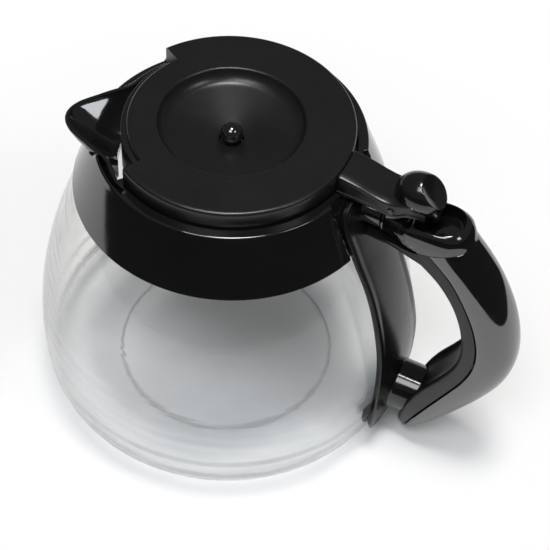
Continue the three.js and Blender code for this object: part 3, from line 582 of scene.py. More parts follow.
def underBeak(r, delta):
    return min(beakHeight(r, delta, "keel", "half", "skinShape"), spout["lip"] - spout["skinGap"])


def inBeak(r, delta):
    return beakHeight(r, delta, "channel", "inHalf", "channelShape")


def beyondPour(delta):  # 0 in the open mouth between lid and lip, 1 outside it
    return ease(abs(delta), spout["pourHalf"] - spout["pourSoft"], spout["pourHalf"] + spout["pourSoft"])


def wallUpTo(height):  # the plain wall, its levels drawn together below this height
    c = collar
    low, high = c["wallLevels"][0], c["wallLevels"][-1]
    levels = [mix(low, height, (z - low) / (high - low)) for z in c["wallLevels"]]
    return around(c["bottomRadius"], c["bottom"], c["footEdge"]) + [(wallRadius(z), z) for z in levels]


def plainSection(angle):
    c = collar
    top, topR, bore, shelf, shelfR = c["top"], c["topRadius"], c["bore"], c["shelf"], c["shelfRadius"]
    turn = turnFrom(angle, 0)
    outer = wallUpTo(c["wallLevels"][-1])
    edge = around(topR, top, c["rimEdge"])
    edge += [(mix(topR - c["flatOut"], bore + c["flatIn"], k / c["flatSteps"]), top)
             for k in range(c["flatSteps"] + 1)]
    edge += around(bore, top, c["boreEdge"])
    side = [(bore, z) for z in c["boreLevels"]]
    inside = [(bore, shelf + c["shelfRound"]), (bore - c["shelfRound"], shelf),
              (shelfR + c["shelfRound"], shelf), (shelfR, shelf - c["shelfLip"]), (shelfR, c["innerFoot"]),
              (c["innerLip"], c["innerFoot"]), (c["innerLip"], c["groove"]),
              (c["grooveRadius"], c["groove"])]
    if abs(turn) < c["seatTurn"]:  # seat for the back plate and the notch for the arm
        seated = []
        for r, z in outer + edge:
            seat = ease(c["seatHalf"] - abs(math.radians(turn) * r), 0, c["cutSoft"])
            seated.append((min(r, mix(r, plateRadius(z) - c["seatGap"], seat)), z))
        outer, edge = seated[:len(outer)], seated[len(outer):]
        low = ease(c["notchHalf"] - abs(math.radians(turn) * c["notchRadius"]), 0, c["cutSoft"])
        edge = [(r, mix(z, min(z, c["notchFloor"]), low)) for r, z in edge]
        side = [(r, mix(z, min(z, c["notchFloor"]), low)) for r, z in side]
    return outer + edge + side + inside + c["glassSeat"]


def grooveSkin(lipR):  # the plain wall to its top, then the groove between it and the lip
    c, s = collar, spout
    drop = around(0, c["top"], s["grooveFall"]) + around(0, s["grooveLow"], s["grooveRise"])
    groove = [(mix(s["grooveRadius"], lipR, t), z) for t, z in drop]
    return wallUpTo(c["wallLevels"][-1]) + around(c["topRadius"], c["top"], s["nearRim"]) + groove


def farSkin(lipR):  # on the far side the wall stops low and the lip alone is the outline
    s = spout
    top = s["farTop"]
    edgeR = wallRadius(top)
    step = [(mix(edgeR - s["farFoot"], lipR, t), top + z) for t, z in s["farRise"]]
    return wallUpTo(top - s["farRound"]) + around(edgeR, top, s["farRim"]) + step


def beakSkin(lipR, delta):  # the plain wall up to the beak, then the beak's underside
    s = spout
    tip = lipR - s["skinIn"]
    root = collar["topRadius"] - s["rootIn"]
    spots = [mix(root, tip, k / s["rootSteps"]) for k in range(s["rootSteps"] + 1)]
    free = [r for r in spots if r >= wallRadius(underBeak(r, delta))]
    start = free[0] if free else tip
    radii = [mix(start, tip, k / s["skinSteps"]) for k in range(1, s["skinSteps"] + 1)]
    return wallUpTo(underBeak(start, delta) - s["rootRound"]) + [(r, underBeak(r, delta)) for r in radii]


def lipSection(angle):
    c, s = collar, spout
    delta = turnFrom(angle, s["angle"])
    lipR = lookUp(s["plan"], abs(delta))
    inR = lookUp(s["inPlan"], abs(delta))
    share = ease(abs(delta), s["beakStart"], s["beakEnd"])
    beside = grooveSkin(lipR) if delta > 0 else farSkin(lipR)
    outer = [mixPoint(p, q, share) for p, q in zip(beakSkin(lipR, delta), beside)]
    edge = around(lipR, s["lip"], s["lipOut"]) + around(inR, s["lip"], s["lipIn"])
    beyond = beyondPour(delta)
    sill = ease(abs(delta), s["sillHalf"] - s["sillIn"], s["sillHalf"] + s["sillOut"])
    wallR = mix(mix(s["sillRadius"], s["pourRadius"], sill), s["ledge"], beyond)
    side = []
    for t in (0.12, 0.34, 0.6, 0.85):
        r = mix(inR, wallR, t)
        z = s["lip"] - s["lipDepth"] - mix(s["pourFall"], s["ledgeFall"], beyond) * t
        channel = min(inBeak(r, delta), s["lip"] - s["lipDepth"] - s["channelFall"] * t)
        side.append((r, mix(channel, z, ease(abs(delta), s["channelStart"], s["channelEnd"]))))
    high, deep, out = side[-1][1] - s["wallDrop"], c["groove"] - s["wallFoot"], s["wallOut"]
    inside = around(wallR, high, s["wallEdge"]) + [(wallR, mix(high, deep, t)) for t in (0, 0.3, 0.6)]
    inside += [(wallR, deep + out), (wallR + out, deep), (wallR + out, c["groove"]),
               (c["grooveRadius"], c["groove"])]
    return outer + edge + side + inside + c["glassSeat"]


insideCount = 13  # points of a section from the shelf down to the glass


def collarSection(angle):
    s = spout
    delta = turnFrom(angle, s["angle"])
    if delta >= 0:
        amount = 1 - ease(delta, s["nearStart"], s["nearEnd"])
    else:
        amount = 1 - ease(-delta, s["farStart"], s["farEnd"])
    plain = plainSection(angle)
    if amount == 0:
        return plain
    pour = 1 - beyondPour(delta)
    inside = len(plain) - insideCount
    return [mixPoint(p, q, amount if k < inside else pour)
            for k, (p, q) in enumerate(zip(plain, lipSection(angle)))]


def makeCollar():
    c = collar
    start, end = spout["angle"] - c["fineHalf"], spout["angle"] + c["fineHalf"]
    backStart, backEnd = 360 - c["backHalf"], 360 + c["backHalf"]
    arcs = [(start, end, c["fineSteps"]), (end, backStart, c["nearSteps"]),
            (backStart, backEnd, c["backSteps"]), (backEnd, start + 360, c["farSteps"])]
    bm = sectionLathe(collarSection, arcs)
    return piece("collar_body", bm, glossBlack, "jug", ["collar"], sharp=38)


makeCollar()
print("collar and spout made")


# lid cover with its dish and the notch at the spout

lid = dict(radius=48.2, top=142.8, underside=140.2, flange=131.3, wall=1.8, dish=29.2, dishFloor=133,
           dishSlope=0.24, hole=4.7, notchAngle=194.2, notchHalf=44.7, notchRadius=40.4, notchCut=0.05,
           flatOut=0.7, flatIn=2.2, sideTop=1.7, sideFoot=0.4, footIn=0.35, footRound=0.3,
           notchSteps=72, steps=168, dishSteps=10, browSteps=5, edgeSteps=7,
           coneRadii=[5.4, 7, 10, 14, 18, 21.5, 23.5], dishStart=(24.5, 137.75), dishPull=(26.6, 138.3),
           dishRise=(28, 140.3), holeEdge=[(0, -0.5), (0.12, -0.12), (0.4, 0.08)],
           brow=[(-0.6, -0.75), (-0.42, -0.2), (-0.1, 0), (0.7, 0)],
           edge=[(-1.5, 0), (-0.5, -0.02), (-0.02, -0.5), (0, -1.5)],
           underOut=2.2, underLine=[(29.9, 139.4), (28.1, 136.9), (25, 135.6), (15, 133.2), (12.2, 130.9)],
           bossFoot=130.8)


def coverSection(angle):
    d = lid
    notched = abs(turnFrom(angle, d["notchAngle"])) < d["notchHalf"]
    rim = d["notchRadius"] if notched else d["radius"]
    low = d["underside"] if notched else d["flange"]
    top, inner = d["top"], rim - d["wall"]
    hole = around(d["hole"], d["dishFloor"], d["holeEdge"])
    cone = [(r, d["dishFloor"] + d["dishSlope"] * (r - d["hole"])) for r in d["coneRadii"]]
    browPoints = around(d["dish"], top, d["brow"])
    dish = bezier(d["dishStart"], d["dishPull"], d["dishRise"], browPoints[0], d["dishSteps"])
    brow = bezier(*browPoints, d["browSteps"])[1:]
    flat = [(mix(d["dish"] + d["flatOut"], rim - d["flatIn"], t), top) for t in (0.35, 0.7, 1)]
    edge = bezier(*around(rim, top, d["edge"]), d["edgeSteps"])
    side = [(rim, mix(top - d["sideTop"], low + d["sideFoot"], t)) for t in (0.05, 0.5, 1)]
    foot = [(rim - d["footIn"], low), (inner + d["footRound"], low),
            (inner, low + (0 if notched else d["footRound"])), (inner, d["underside"])]
    under = [(d["dish"] + d["underOut"], d["underside"])] + d["underLine"] + [(d["hole"], d["bossFoot"])]
    return hole + cone + dish + brow + flat + edge + side + foot + under


def makeCover():
    d = lid
    start, end, cut = d["notchAngle"] - d["notchHalf"], d["notchAngle"] + d["notchHalf"], d["notchCut"]
    arcs = [(start + cut, end - cut, d["notchSteps"]), (end - cut, end + cut, 1),
            (end + cut, start - cut + 360, d["steps"]), (start - cut + 360, start + cut + 360, 1)]
    bm = sectionLathe(coverSection, arcs)
    return piece("lid_top", bm, satinBlack, "lid", ["lid_cover"], sharp=40)


makeCover()


skirt = dict(inner=40.8, outer=42.6, bottom=122.2, top=140.2, flange=38.4, flangeLow=138.8, footRound=0.5,
             topRound=0.45, steps=144)


def makeSkirt():
    k = skirt
    profile = rounded([(k["inner"], k["bottom"], k["footRound"]), (k["outer"], k["bottom"], k["footRound"]),
                       (k["outer"], k["top"], k["topRound"]), (k["flange"], k["top"]),
                       (k["flange"], k["flangeLow"]), (k["inner"], k["flangeLow"])])
    bm = lathe(profile, k["steps"], closed=True)
    return piece("lid_inner_ring", bm, satinBlack, "lid", ["lid_skirt"], sharp=40)


makeSkirt()
print("lid made")


# drip valve button in the dish

button = dict(radius=4.4, centre=135.8, stem=1.9, foot=117.4, shoulder=2.9, shoulderLow=127.4,
              shoulderHigh=128.6, neck=4.1, footRound=0.4, shoulderRound=0.3, ballSteps=28, steps=56)


def makeButton():
    b = button
    start = math.asin(b["stem"] / b["radius"])
    angles = [start + (math.pi - start) * i / b["ballSteps"] for i in range(b["ballSteps"] + 1)]
    ball = [(b["radius"] * math.sin(a), b["centre"] - b["radius"] * math.cos(a)) for a in angles]
    ball[-1] = (0, b["centre"] + b["radius"])
    stem = rounded([(0, b["foot"]), (b["stem"], b["foot"], b["footRound"]), (b["stem"], b["shoulderLow"]),
                    (b["shoulder"], b["shoulderLow"], b["shoulderRound"]),
                    (b["shoulder"], b["shoulderHigh"], b["shoulderRound"]),
                    (b["stem"], b["shoulderHigh"]), (b["stem"], b["centre"] - b["neck"])], closed=False)
    bm = lathe(stem + ball, b["steps"])
    return piece("valve_button", bm, glossBlack, "valve", ["valve_pin"], sharp=40)


makeButton()


spring = dict(radius=4.4, wire=0.45, low=120.85, high=126.95, turns=4, perTurn=24, sides=10,
              foot=0.1204, pressed=0.65)  # foot in metres, pressed as a share of its length


def makeSpring():  # a coil of steel wire for the valve
    s = spring
    steps = s["turns"] * s["perTurn"]
    rings = []
    for i in range(steps + 1):
        angle = 2 * math.pi * i / s["perTurn"]
        height = mix(s["low"], s["high"], i / steps)
        ring = []
        for j in range(s["sides"]):
            turn = 2 * math.pi * j / s["sides"]
            r = s["radius"] + s["wire"] * math.cos(turn)
            ring.append((r * math.cos(angle), r * math.sin(angle), height + s["wire"] * math.sin(turn)))
        rings.append(ring)
    obj = piece("valve_coil", sweep(rings), steel, "lid", ["valve_spring"], sharp=60)
    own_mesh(obj)


makeSpring()
print("valve button and spring made")


# lid arm, an upside-down trough from the lid to the knob

arm = dict(half=8, wall=2.2, topWall=1.8, front=48.5, rear=83, taper=0.3, taperStart=76, leastWall=0.6,
           ceilingRound=0.6, footRound=0.3, footFlat=0.5, roofOut=0.55, roofIn=0.4, hug=9, steps=44,
           startSteps=(0, 0.35, 0.9), endStep=0.5, endShare=0.985, endLevel=137.5, endPull=0.03,
           tongueSize=(18, 12, 2.5), tonguePlace=(42, 0, 138.65),
           topLine=[(46, 142.75), (50, 142.5), (56, 141.3), (63, 139.4), (68, 138.6), (72, 139),
                    (75.5, 140.4), (79, 141), (83, 141)],
           underLine=[(46, 133.2), (55, 133.1), (62, 132.7), (69, 131.7), (72.5, 131.9), (76, 134.2),
                      (79, 134), (83, 131.8)],
           flankLow=[(-0.25, 0), (-0.25, 1.2, 0.15), (-0.6, 1.5, 0.15)],
           flankHigh=[(-0.45, -2, 0.15), (0, -1.7, 0.2), (0, 0)],
           topEdge=[(-0.02, -0.9), (-0.28, -0.3), (-0.9, -0.02)])


def armRing(x):
    a = arm
    top, low = lookUp(a["topLine"], x), lookUp(a["underLine"], x)
    half = a["half"] * (1 - a["taper"] * ease(x, a["taperStart"], a["rear"]))
    inner = half - a["wall"]
    ceiling = max(top - a["topWall"], low + a["leastWall"])
    corners = around(half, low, a["flankLow"]) + around(half, top, a["flankHigh"])
    flank = [(half - a["footFlat"], low)] + rounded(corners, closed=False, steps=4)[:-1]
    flank += around(half, top, a["topEdge"]) + [(a["roofOut"] * half, top)]
    inside = [(a["roofIn"] * half, ceiling), (inner - a["ceilingRound"], ceiling),
              (inner, ceiling - a["ceilingRound"]), (inner, low + a["footRound"]),
              (inner + a["footRound"], low)]
    ring = [(-y, z) for y, z in flank] + [(0, top)] + flank[::-1]
    ring += inside[::-1] + [(0, ceiling)] + [(-y, z) for y, z in inside]
    return [(x, y, z) for y, z in ring]


def makeArm():
    a = arm
    front, nearFront, inFront = (a["front"] + step for step in a["startSteps"])
    stations = [front, nearFront]
    stations += [mix(inFront, a["rear"] - a["endStep"], i / a["steps"]) for i in range(a["steps"] + 1)]
    stations.append(a["rear"])
    rings = []
    for i, x in enumerate(stations):
        ring = armRing(x)
        if i in (0, len(stations) - 1):  # ease the end edges in
            ring = [(px, py * a["endShare"], mix(pz, a["endLevel"], a["endPull"])) for px, py, pz in ring]
        hug = 1 - ease(x, front, front + a["hug"])  # front end follows the lid's round edge
        rings.append([(px - hug * (front - math.sqrt(front ** 2 - py * py)), py, pz) for px, py, pz in ring])
    bm = sweep(rings)
    tongue = bmesh.ops.create_cube(bm, size=1)["verts"]  # tongue under the lid, held by two screws
    bmesh.ops.scale(bm, vec=a["tongueSize"], verts=tongue)
    bmesh.ops.translate(bm, vec=a["tonguePlace"], verts=tongue)
    return piece("arm_body", bm, satinBlack, "lid", ["lid_arm"], sharp=32)


makeArm()


pin = dict(radius=1.35, half=8.05, x=70, height=134.2, round=0.3, steps=32)


def makePin():
    p = pin
    profile = rounded([(0, -p["half"]), (p["radius"], -p["half"], p["round"]),
                       (p["radius"], p["half"], p["round"]), (0, p["half"])], closed=False)
    bm = lathe(profile, p["steps"])
    rotate(bm, 90, "X")
    move(bm, (p["x"], 0, p["height"]))
    return piece("pivot_pin", bm, knobBlack, "jug", ["hinge_pin"], sharp=40)


makePin()


# thumb knob: an egg with a slanted face and a tail drawn down behind the arm
# press is where the face begins, as the sum of x and height

knob = dict(x=78.7, height=141.8, length=10.1, radius=8, tailTip=128.4, tailStart=81.5, tailFull=84,
            tailBack=86.2, end=88.8, tailPower=1.25, tailNarrow=0.3, narrowFrom=0.3, press=228.6, hollow=1.3,
            steps=60, sides=72)


def knobOutline(x, radius, drop):  # round above, drawn out below into the tail
    k = knob
    out = []
    for i in range(k["sides"]):
        angle = 2 * math.pi * i / k["sides"]
        y, z = radius * math.sin(angle), radius * math.cos(angle)
        if z < 0:
            depth = -z / radius
            z = -mix(radius * depth, (k["height"] - k["tailTip"]) * depth ** k["tailPower"], drop)
            y *= mix(1, 1 - k["tailNarrow"] * ease(depth, k["narrowFrom"], 1), drop)
        over = max(x + k["height"] + z - k["press"], 0) / 2 * k["hollow"]  # slanted hollow for the thumb
        out.append((x - over, y, k["height"] + z - over))
    return out


def makeKnob():
    k = knob
    rings = []
    for i in range(1, k["steps"]):
        angle = math.pi * i / k["steps"]
        x = k["x"] - k["length"] * math.cos(angle)
        drop = ease(x, k["tailStart"], k["tailFull"]) * (1 - ease(x, k["tailBack"], k["end"]))
        rings.append(knobOutline(x, k["radius"] * math.sin(angle), drop))
    return piece("knob_body", sweep(rings), knobBlack, "lid", ["thumb_knob"], sharp=28)


makeKnob()
print("arm, pin and knob made")


# back plate over the glass and its pad

def makePlate():
    p = plate
    rows = [splineAt(p["sides"], mix(p["firstRow"], p["lastRow"], i / p["rows"]))
            for i in range(p["rows"] + 1)]  # short of the two pinched ends
    columns = [math.sin(math.pi / 2 * (-1 + 2 * j / p["columns"])) for j in range(p["columns"] + 1)]
    bm = bmesh.new()
    bmesh.ops.create_grid(bm, x_segments=p["columns"], y_segments=p["rows"], size=1)
    for v in bm.verts:
        half, z = rows[round((1 - v.co.y) / 2 * p["rows"])]
        z = min(max(z, p["bottom"]), p["top"])
        y = columns[round((v.co.x + 1) / 2 * p["columns"])] * half
        ends = min(p["top"] - z, z - p["bottom"]) * p["endSlope"] + p["endInset"]
        inset = min(half - abs(y), ends)
        lift = p["border"] * (1 - ease(inset, p["borderWidth"] - p["borderStep"], p["borderWidth"]))
        soft = p["softDrop"] * (1 - ease(inset, 0, p["softWidth"]))
        r = plateRadius(z) + p["thickness"] + lift - soft
        v.co = (math.sqrt(r * r - y * y), y, z)
    bmesh.ops.recalc_face_normals(bm, faces=bm.faces[:])
    if sum(f.normal.x for f in bm.faces) < 0:
        bmesh.ops.reverse_faces(bm, faces=bm.faces[:])
    bmesh.ops.solidify(bm, geom=bm.faces[:], thickness=p["thickness"])
    return piece("plate_body", bm, plateBlack, "jug", ["back_plate"], sharp=45, bevel=0.35)


makePlate()


pad = dict(half=27.3, bottom=28.2, height=5.6, start=-0.2, thickness=1.1, rows=4, columns=36)


def makePad():
    p = pad
    bm = bmesh.new()
    bmesh.ops.create_grid(bm, x_segments=p["columns"], y_segments=p["rows"], size=1)
    for v in bm.verts:
        y = v.co.x * p["half"]
        z = p["bottom"] + p["height"] * (v.co.y + 1) / 2
        r = plateRadius(z) + p["start"] + p["thickness"]
        v.co = (math.sqrt(r * r - y * y), y, z)
    bmesh.ops.solidify(bm, geom=bm.faces[:], thickness=p["thickness"])
    return piece("pad_strip", bm, silicone, "jug", ["plate_pad"], sharp=45, bevel=0.25)


makePad()
print("back plate and pad made")


# neck, ring and lower stud, all turned about lines along X

neck = dict(height=123.2, radius=5.8, draft=0.1, start=57.5, end=65.8, ringRadius=6.5, ringStart=66.1,
            ringEnd=67.4, round=0.5)
stud = dict(height=23, radius=11.5, start=80.4, end=93.2, flange=1.6, steps=96,
            flangeEdge=[(0, 0, 0.4), (-0.4, 0.5, 0.5)], endEdge=(-0.6, -0.2, 0.4), startRound=0.3)


def makeNeck():
    n = neck
    sleeve = rounded([(0, n["start"]), (n["radius"] - n["draft"], n["start"]),
                      (n["radius"], n["end"], n["round"]), (0, n["end"])], closed=False)
    bm = latheX(sleeve, n["height"])
    piece("neck_tube", bm, glossBlack, "jug", ["neck_sleeve"], sharp=40)
    ring = rounded([(0, n["ringStart"]), (n["ringRadius"], n["ringStart"], n["round"]),
                    (n["ringRadius"], n["ringEnd"], n["round"]), (0, n["ringEnd"])], closed=False)
    bm = latheX(ring, n["height"])
    piece("neck_collar", bm, glossBlack, "jug", ["neck_ring"], sharp=40)


def makeStud():
    s = stud
    corners = [(0, s["start"]), (s["radius"], s["start"], s["startRound"])]
    corners += around(s["radius"], s["start"] + s["flange"], s["flangeEdge"])
    corners += around(s["radius"], s["end"], [s["endEdge"]]) + [(0, s["end"])]
    bm = latheX(rounded(corners, closed=False), s["height"], s["steps"])
    piece("stud_body", bm, knobBlack, "jug", ["lower_stud"], sharp=40)


makeNeck()
makeStud()
print("neck and stud made")


# handle: top block, outer shell and inner liner follow lines in the XZ plane

handle = dict(
    inner=[(85.6, 113.8), (93.6, 107.6), (100.3, 99), (104.9, 89.2), (107.4, 78.8), (107.6, 69),
           (105.1, 59.5), (100.2, 49.5), (94, 38.5), (89.3, 26.5), (86.8, 15), (85.8, 8.4)],
    seam=[(87.5, 121.8), (97.2, 113.2), (104.3, 103.3), (110.3, 91.3), (113.6, 79.3), (113.8, 68), (111, 57),
          (106, 45.8), (99.6, 32.6), (94.2, 21), (90.6, 11.2), (88.4, 5.6)],
    crest=[(102.7, 125.9), (109.8, 116.8), (117, 106), (123.5, 92.5), (127.3, 79), (128.3, 67), (126, 55),
           (120.3, 42.5), (112, 29), (103.2, 16.5), (94.4, 7.6), (89.8, 4.6)],
    width=[11, 11.6, 12.1, 12.4, 12.5, 12.5, 12.4, 12.3, 12.3, 12.2, 10.6, 7.5],
    gap=0.3, squareness=0.88, steps=72)


def linePoint(key, t):
    return Vector(splineAt(handle[key], t))


def gripWidth(t):  # half of the grip's width
    return splineAt([(w,) for w in handle["width"]], t)[0]


def shellFoot(seam, crest):
    return seam + (crest - seam).normalized() * handle["gap"]


shell = dict(start=0.0045, upper=36, lower=10, lip=0.5, lipIn=0.1, footShare=0.94,
             tipWay=(-0.78, 0, -0.35), tipRings=[(0.86, 0.55), (0.55, 0.95)],
             startShare=0.975, startWay=(-0.06, 0, 0.08))


def archRing(foot, crest, width):
    s = shell
    squareness = handle["squareness"]
    lip = s["lip"] / (crest - foot).length
    points = []
    for i in range(s["upper"] + 1):
        angle = math.pi * (i / s["upper"] - 0.5)
        side = math.copysign(abs(math.sin(angle)) ** squareness, angle)
        points.append((width * side, max(math.cos(angle), 0) ** squareness))
    points[0] = (s["lipIn"] - width, lip)
    points[-1] = (width - s["lipIn"], lip)
    points += [(width * s["footShare"] * (1 - 2 * i / s["lower"]), 0) for i in range(s["lower"] + 1)]
    spots = [(across, foot.lerp(crest, along)) for across, along in points]
    return [(spot.x, across, spot.y) for across, spot in spots]


def makeShell():
    s = shell
    rings = []
    for i in range(handle["steps"] + 1):
        t = mix(s["start"], 1, i / handle["steps"])
        seam, crest = linePoint("seam", t), linePoint("crest", t)
        rings.append(archRing(shellFoot(seam, crest), crest, gripWidth(t)))
    first, last = rings[0], rings[-1]
    rings += [shrunkRing(last, share, Vector(s["tipWay"]) * along) for share, along in s["tipRings"]]
    rings.insert(0, shrunkRing(first, s["startShare"], s["startWay"]))  # eased start edge
    return piece("handle_outer", sweep(rings), shellBlack, "jug", ["handle_shell"], sharp=40)


# lead holds the stations from the neck to the grip: foot, seam and half width
liner = dict(lead=[(61, 114, 61, 115.9, 6.2), (67.5, 114.2, 67.5, 116.3, 7), (72, 114.8, 72.3, 117.8, 7.8),
                   (80, 114.4, 80.6, 118.6, 9.6)],
             leadSteps=10, inset=0.4, seamGap=0.1, flankShare=0.35, floorDepth=1.2, floorShare=0.35,
             backShare=0.9,
             fingerEdge=[(-0.05, -1.6), (-0.35, -0.7), (-1, -0.15), (-1.9, 0), (-2.6, -0.15), (-3.2, -0.8),
                         (-3.8, -1.15)],
             tipShare=0.8, tipWay=(-0.3, 0, -0.6))


def linerRing(row):  # flank from the seam to the finger side, which has a shallow channel
    n = liner
    foot, seam, width = Vector(row[:2]), Vector(row[2:4]), row[4]
    down = (foot - seam).normalized()
    depth = (foot - seam).length
    flank = [(width, n["seamGap"]), (width, n["flankShare"] * depth)] + around(width, depth, n["fingerEdge"])
    flank.append((n["floorShare"] * width, depth - n["floorDepth"]))
    ring = flank + [(0, depth - n["floorDepth"])] + [(-y, d) for y, d in reversed(flank)]
    ring += [(-n["backShare"] * width, 0), (0, 0), (n["backShare"] * width, 0)]
    spots = [(y, seam + down * d) for y, d in ring]
    return [(spot.x, y, spot.y) for y, spot in spots]


def makeLiner():
    n = liner
    rows = list(n["lead"])
    for i in range(handle["steps"] + 1):
        t = i / handle["steps"]
        rows.append((*linePoint("inner", t), *linePoint("seam", t), gripWidth(t) - n["inset"]))
    count = len(n["lead"])
    guide = rows[:count + 3]  # the lead and the first stations of the grip
    fineSteps = n["leadSteps"] * (len(guide) - 1)
    fine = [splineAt(guide, i / fineSteps) for i in range(n["leadSteps"] * count + 1)]
    rings = [linerRing(row) for row in fine + rows[count + 1:]]
    rings.append(shrunkRing(rings[-1], n["tipShare"], n["tipWay"]))
    return piece("handle_inner", sweep(rings), greyLiner, "jug", ["handle_liner"], sharp=40)


makeShell()
makeLiner()
print("handle shell and liner made")


# each station: foot x and z, crest x and z, half width, height of the flank's foot, squareness
# each row of the scoop's wall: offset across, fixed depth and share of the full depth
headBlock = dict(scoopFront=74.8, scoopRear=97.2, scoopHalf=8.6, frontRound=3.2, rearRound=7.5, rim=1.1,
                 innerRim=0.45, rimFull=3, wallFull=1.5, leastHalf=0.02, leastDepth=0.2, flatDepth=0.3,
                 steps=84, flankSteps=14, underSteps=9,
                 floorLine=[(72.8, 121.2), (77.3, 119.2), (82, 119.2), (86, 122.8), (89, 124.6),
                            (101.2, 129.2)],
                 stations=[(67.7, 116.8, 67.7, 129.6, 6.4, 0.5, 0.8),
                           (73, 118.2, 73.6, 129.8, 8.6, 0.42, 0.6),
                           (77, 118.6, 79, 132.2, 10.4, 0.3, 0.6),
                           (80.5, 119, 87, 133.6, 11, 0.2, 0.6),
                           (83.5, 120.2, 94, 133.4, 11.2, 0.1, 0.62),
                           (86, 121.4, 99.6, 131.2, 11.1, 0.05, 0.72)],
                 scoopWall=[(0.1, 0.12, 0), (0, 0.6, 0), (-0.05, 0, 0.35), (-0.15, 0, 0.7), (-0.5, 0, 0.93)],
                 scoopFloor=[0.8, 0.4])


def scoopHalfAt(x):  # half width of the scoop, round at both ends
    h = headBlock
    if x <= h["scoopFront"] or x >= h["scoopRear"]:
        return 0.0
    for end, radius in ((x - h["scoopFront"], h["frontRound"]), (h["scoopRear"] - x, h["rearRound"])):
        if end < radius:
            return h["scoopHalf"] - radius + math.sqrt(radius * radius - (radius - end) ** 2)
    return h["scoopHalf"]


def crown(y, width, split, square):  # share of the way up the arch at this offset
    across = min(abs(y) / width, 1.0) ** (1 / square)
    return split + (1 - split) * max(math.cos(math.asin(across)), 0) ** square


def headRing(row):
    h = headBlock
    base, peak, width, split, square = Vector(row[:2]), Vector(row[2:4]), row[4], max(row[5], 0.0), row[6]
    inside = max(scoopHalfAt(peak.x), h["leastHalf"])
    rimShare = min(inside / h["rimFull"], 1)
    ring = []
    for k in range(h["flankSteps"], -1, -1):  # outer flank up to the scoop's rim
        y = mix(inside + h["rim"] * rimShare, width, math.sin(math.pi / 2 * k / h["flankSteps"]))
        along = split if k == h["flankSteps"] else crown(y, width, split, square)
        spot = base.lerp(peak, along)
        ring.append((spot.x, y, spot.y))
    top = base.lerp(peak, crown(inside, width, split, square)).y
    drop = min(inside / h["wallFull"], 1.0)
    depth = (top - min(lookUp(h["floorLine"], peak.x), top - h["leastDepth"])) * drop
    wall = [(inside + h["innerRim"] * rimShare, 0)]
    wall += [(inside + across * drop, fixed * drop + share * depth)
             for across, fixed, share in h["scoopWall"]]
    wall += [(inside * share, depth) for share in h["scoopFloor"]]
    for y, down in wall:
        spot = base.lerp(peak, crown(y, width, split, square))
        ring.append((spot.x, y, spot.y - (min(down, depth) if depth > h["flatDepth"] else 0)))
    under = []
    for k in range(1, h["underSteps"]):
        angle = math.pi * k / h["underSteps"]
        spot = base.lerp(peak, split * (1 - math.sin(angle)))
        under.append((spot.x, -width * math.cos(angle), spot.y))
    return ring + [(x, -y, z) for x, y, z in reversed(ring)] + under


def makeHead():
    h = headBlock
    seam, crest = linePoint("seam", 0), linePoint("crest", 0)
    shellStart = (*shellFoot(seam, crest), *crest, gripWidth(0), 0.0, handle["squareness"])
    rows = h["stations"] + [shellStart]
    rings = [headRing(splineAt(rows, i / h["steps"])) for i in range(h["steps"] + 1)]
    return piece("handle_head", sweep(rings), glossBlack, "jug", ["handle_top"], sharp=42)


makeHead()


lugBlock = dict(front=67.7, rear=72.4, half=5.5, low=123, radius=2.4, steps=12)


def makeLug():  # carries the hinge pin on the head
    g = lugBlock
    bm = bmesh.new()
    outline = [(g["front"], g["low"]), (g["rear"], g["low"])]
    for k in range(g["steps"] + 1):
        angle = math.pi * k / g["steps"]
        outline.append((pin["x"] + g["radius"] * math.cos(angle),
                        pin["height"] + g["radius"] * math.sin(angle)))
    face = bm.faces.new([bm.verts.new((x, -g["half"], z)) for x, z in outline])
    pulled = bmesh.ops.extrude_face_region(bm, geom=[face])
    verts = [v for v in pulled["geom"] if isinstance(v, bmesh.types.BMVert)]
    bmesh.ops.translate(bm, vec=(0, 2 * g["half"], 0), verts=verts)
    return piece("hinge_lug", bm, glossBlack, "jug", [], sharp=35, bevel=0.3)


makeLug()
print("handle head made")


# pieces inside that keep their solids
innerFinishes = {"collar_seal": silicone, "valve_seal": silicone, "valve_cage": satinBlack,
                 "upper_screw": steel, "lower_screw": steel, "arm_screw_near": steel, "arm_screw_far": steel}
for name, material in innerFinishes.items():
    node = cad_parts[name]
    node.data.materials.clear()
    node.data.materials.append(material)
print("inner solids dressed")


# floor, world, lamps and camera, in metres

floorSheet = dict(size=8.0, height=-0.0004, segments=96, color=(0.97, 0.97, 0.97), shadowReach=0.09,
                  glowFullFrom=0.22)


def stageObject(name, bm, material):
    mesh = bpy.data.meshes.new(name)
    bm.to_mesh(mesh)
    bm.free()
    mesh.materials.append(material)
    obj = bpy.data.objects.new(name, mesh)
    scene.collection.objects.link(obj)
    return obj


def paleFloor():
    f = floorSheet
    material = bpy.data.materials.new("pale_floor")
    material.use_nodes = True
    tree = material.node_tree
    tree.nodes.remove(tree.nodes["Principled BSDF"])
    matte = tree.nodes.new("ShaderNodeBsdfDiffuse")
    matte.inputs["Color"].default_value = (*f["color"], 1)
    path = tree.nodes.new("ShaderNodeLightPath")
    seen = path.outputs["Is Camera Ray"]
    for kind in ("Is Glossy Ray", "Is Transmission Ray"):
        seen = mathOn(tree, "MAXIMUM", seen, path.outputs[kind])
    coords = tree.nodes.new("ShaderNodeTexCoord")
    # the floor glows white for camera, glossy and transmission rays away from the object, painted light that
    # lifts its shadow there; close to it the shadow is true
    away = mapRange(tree, lengthOf(tree, coords.outputs["Object"]), f["shadowReach"], f["glowFullFrom"])
    # the glow is painted light over the floor's shadow, rising to full white farther out
    glowLift = tree.nodes.new("ShaderNodeEmission")
    share = mathOn(tree, "MULTIPLY", away, seen)
    mixSurface(tree, matte.outputs["BSDF"], glowLift.outputs["Emission"], share)
    return material


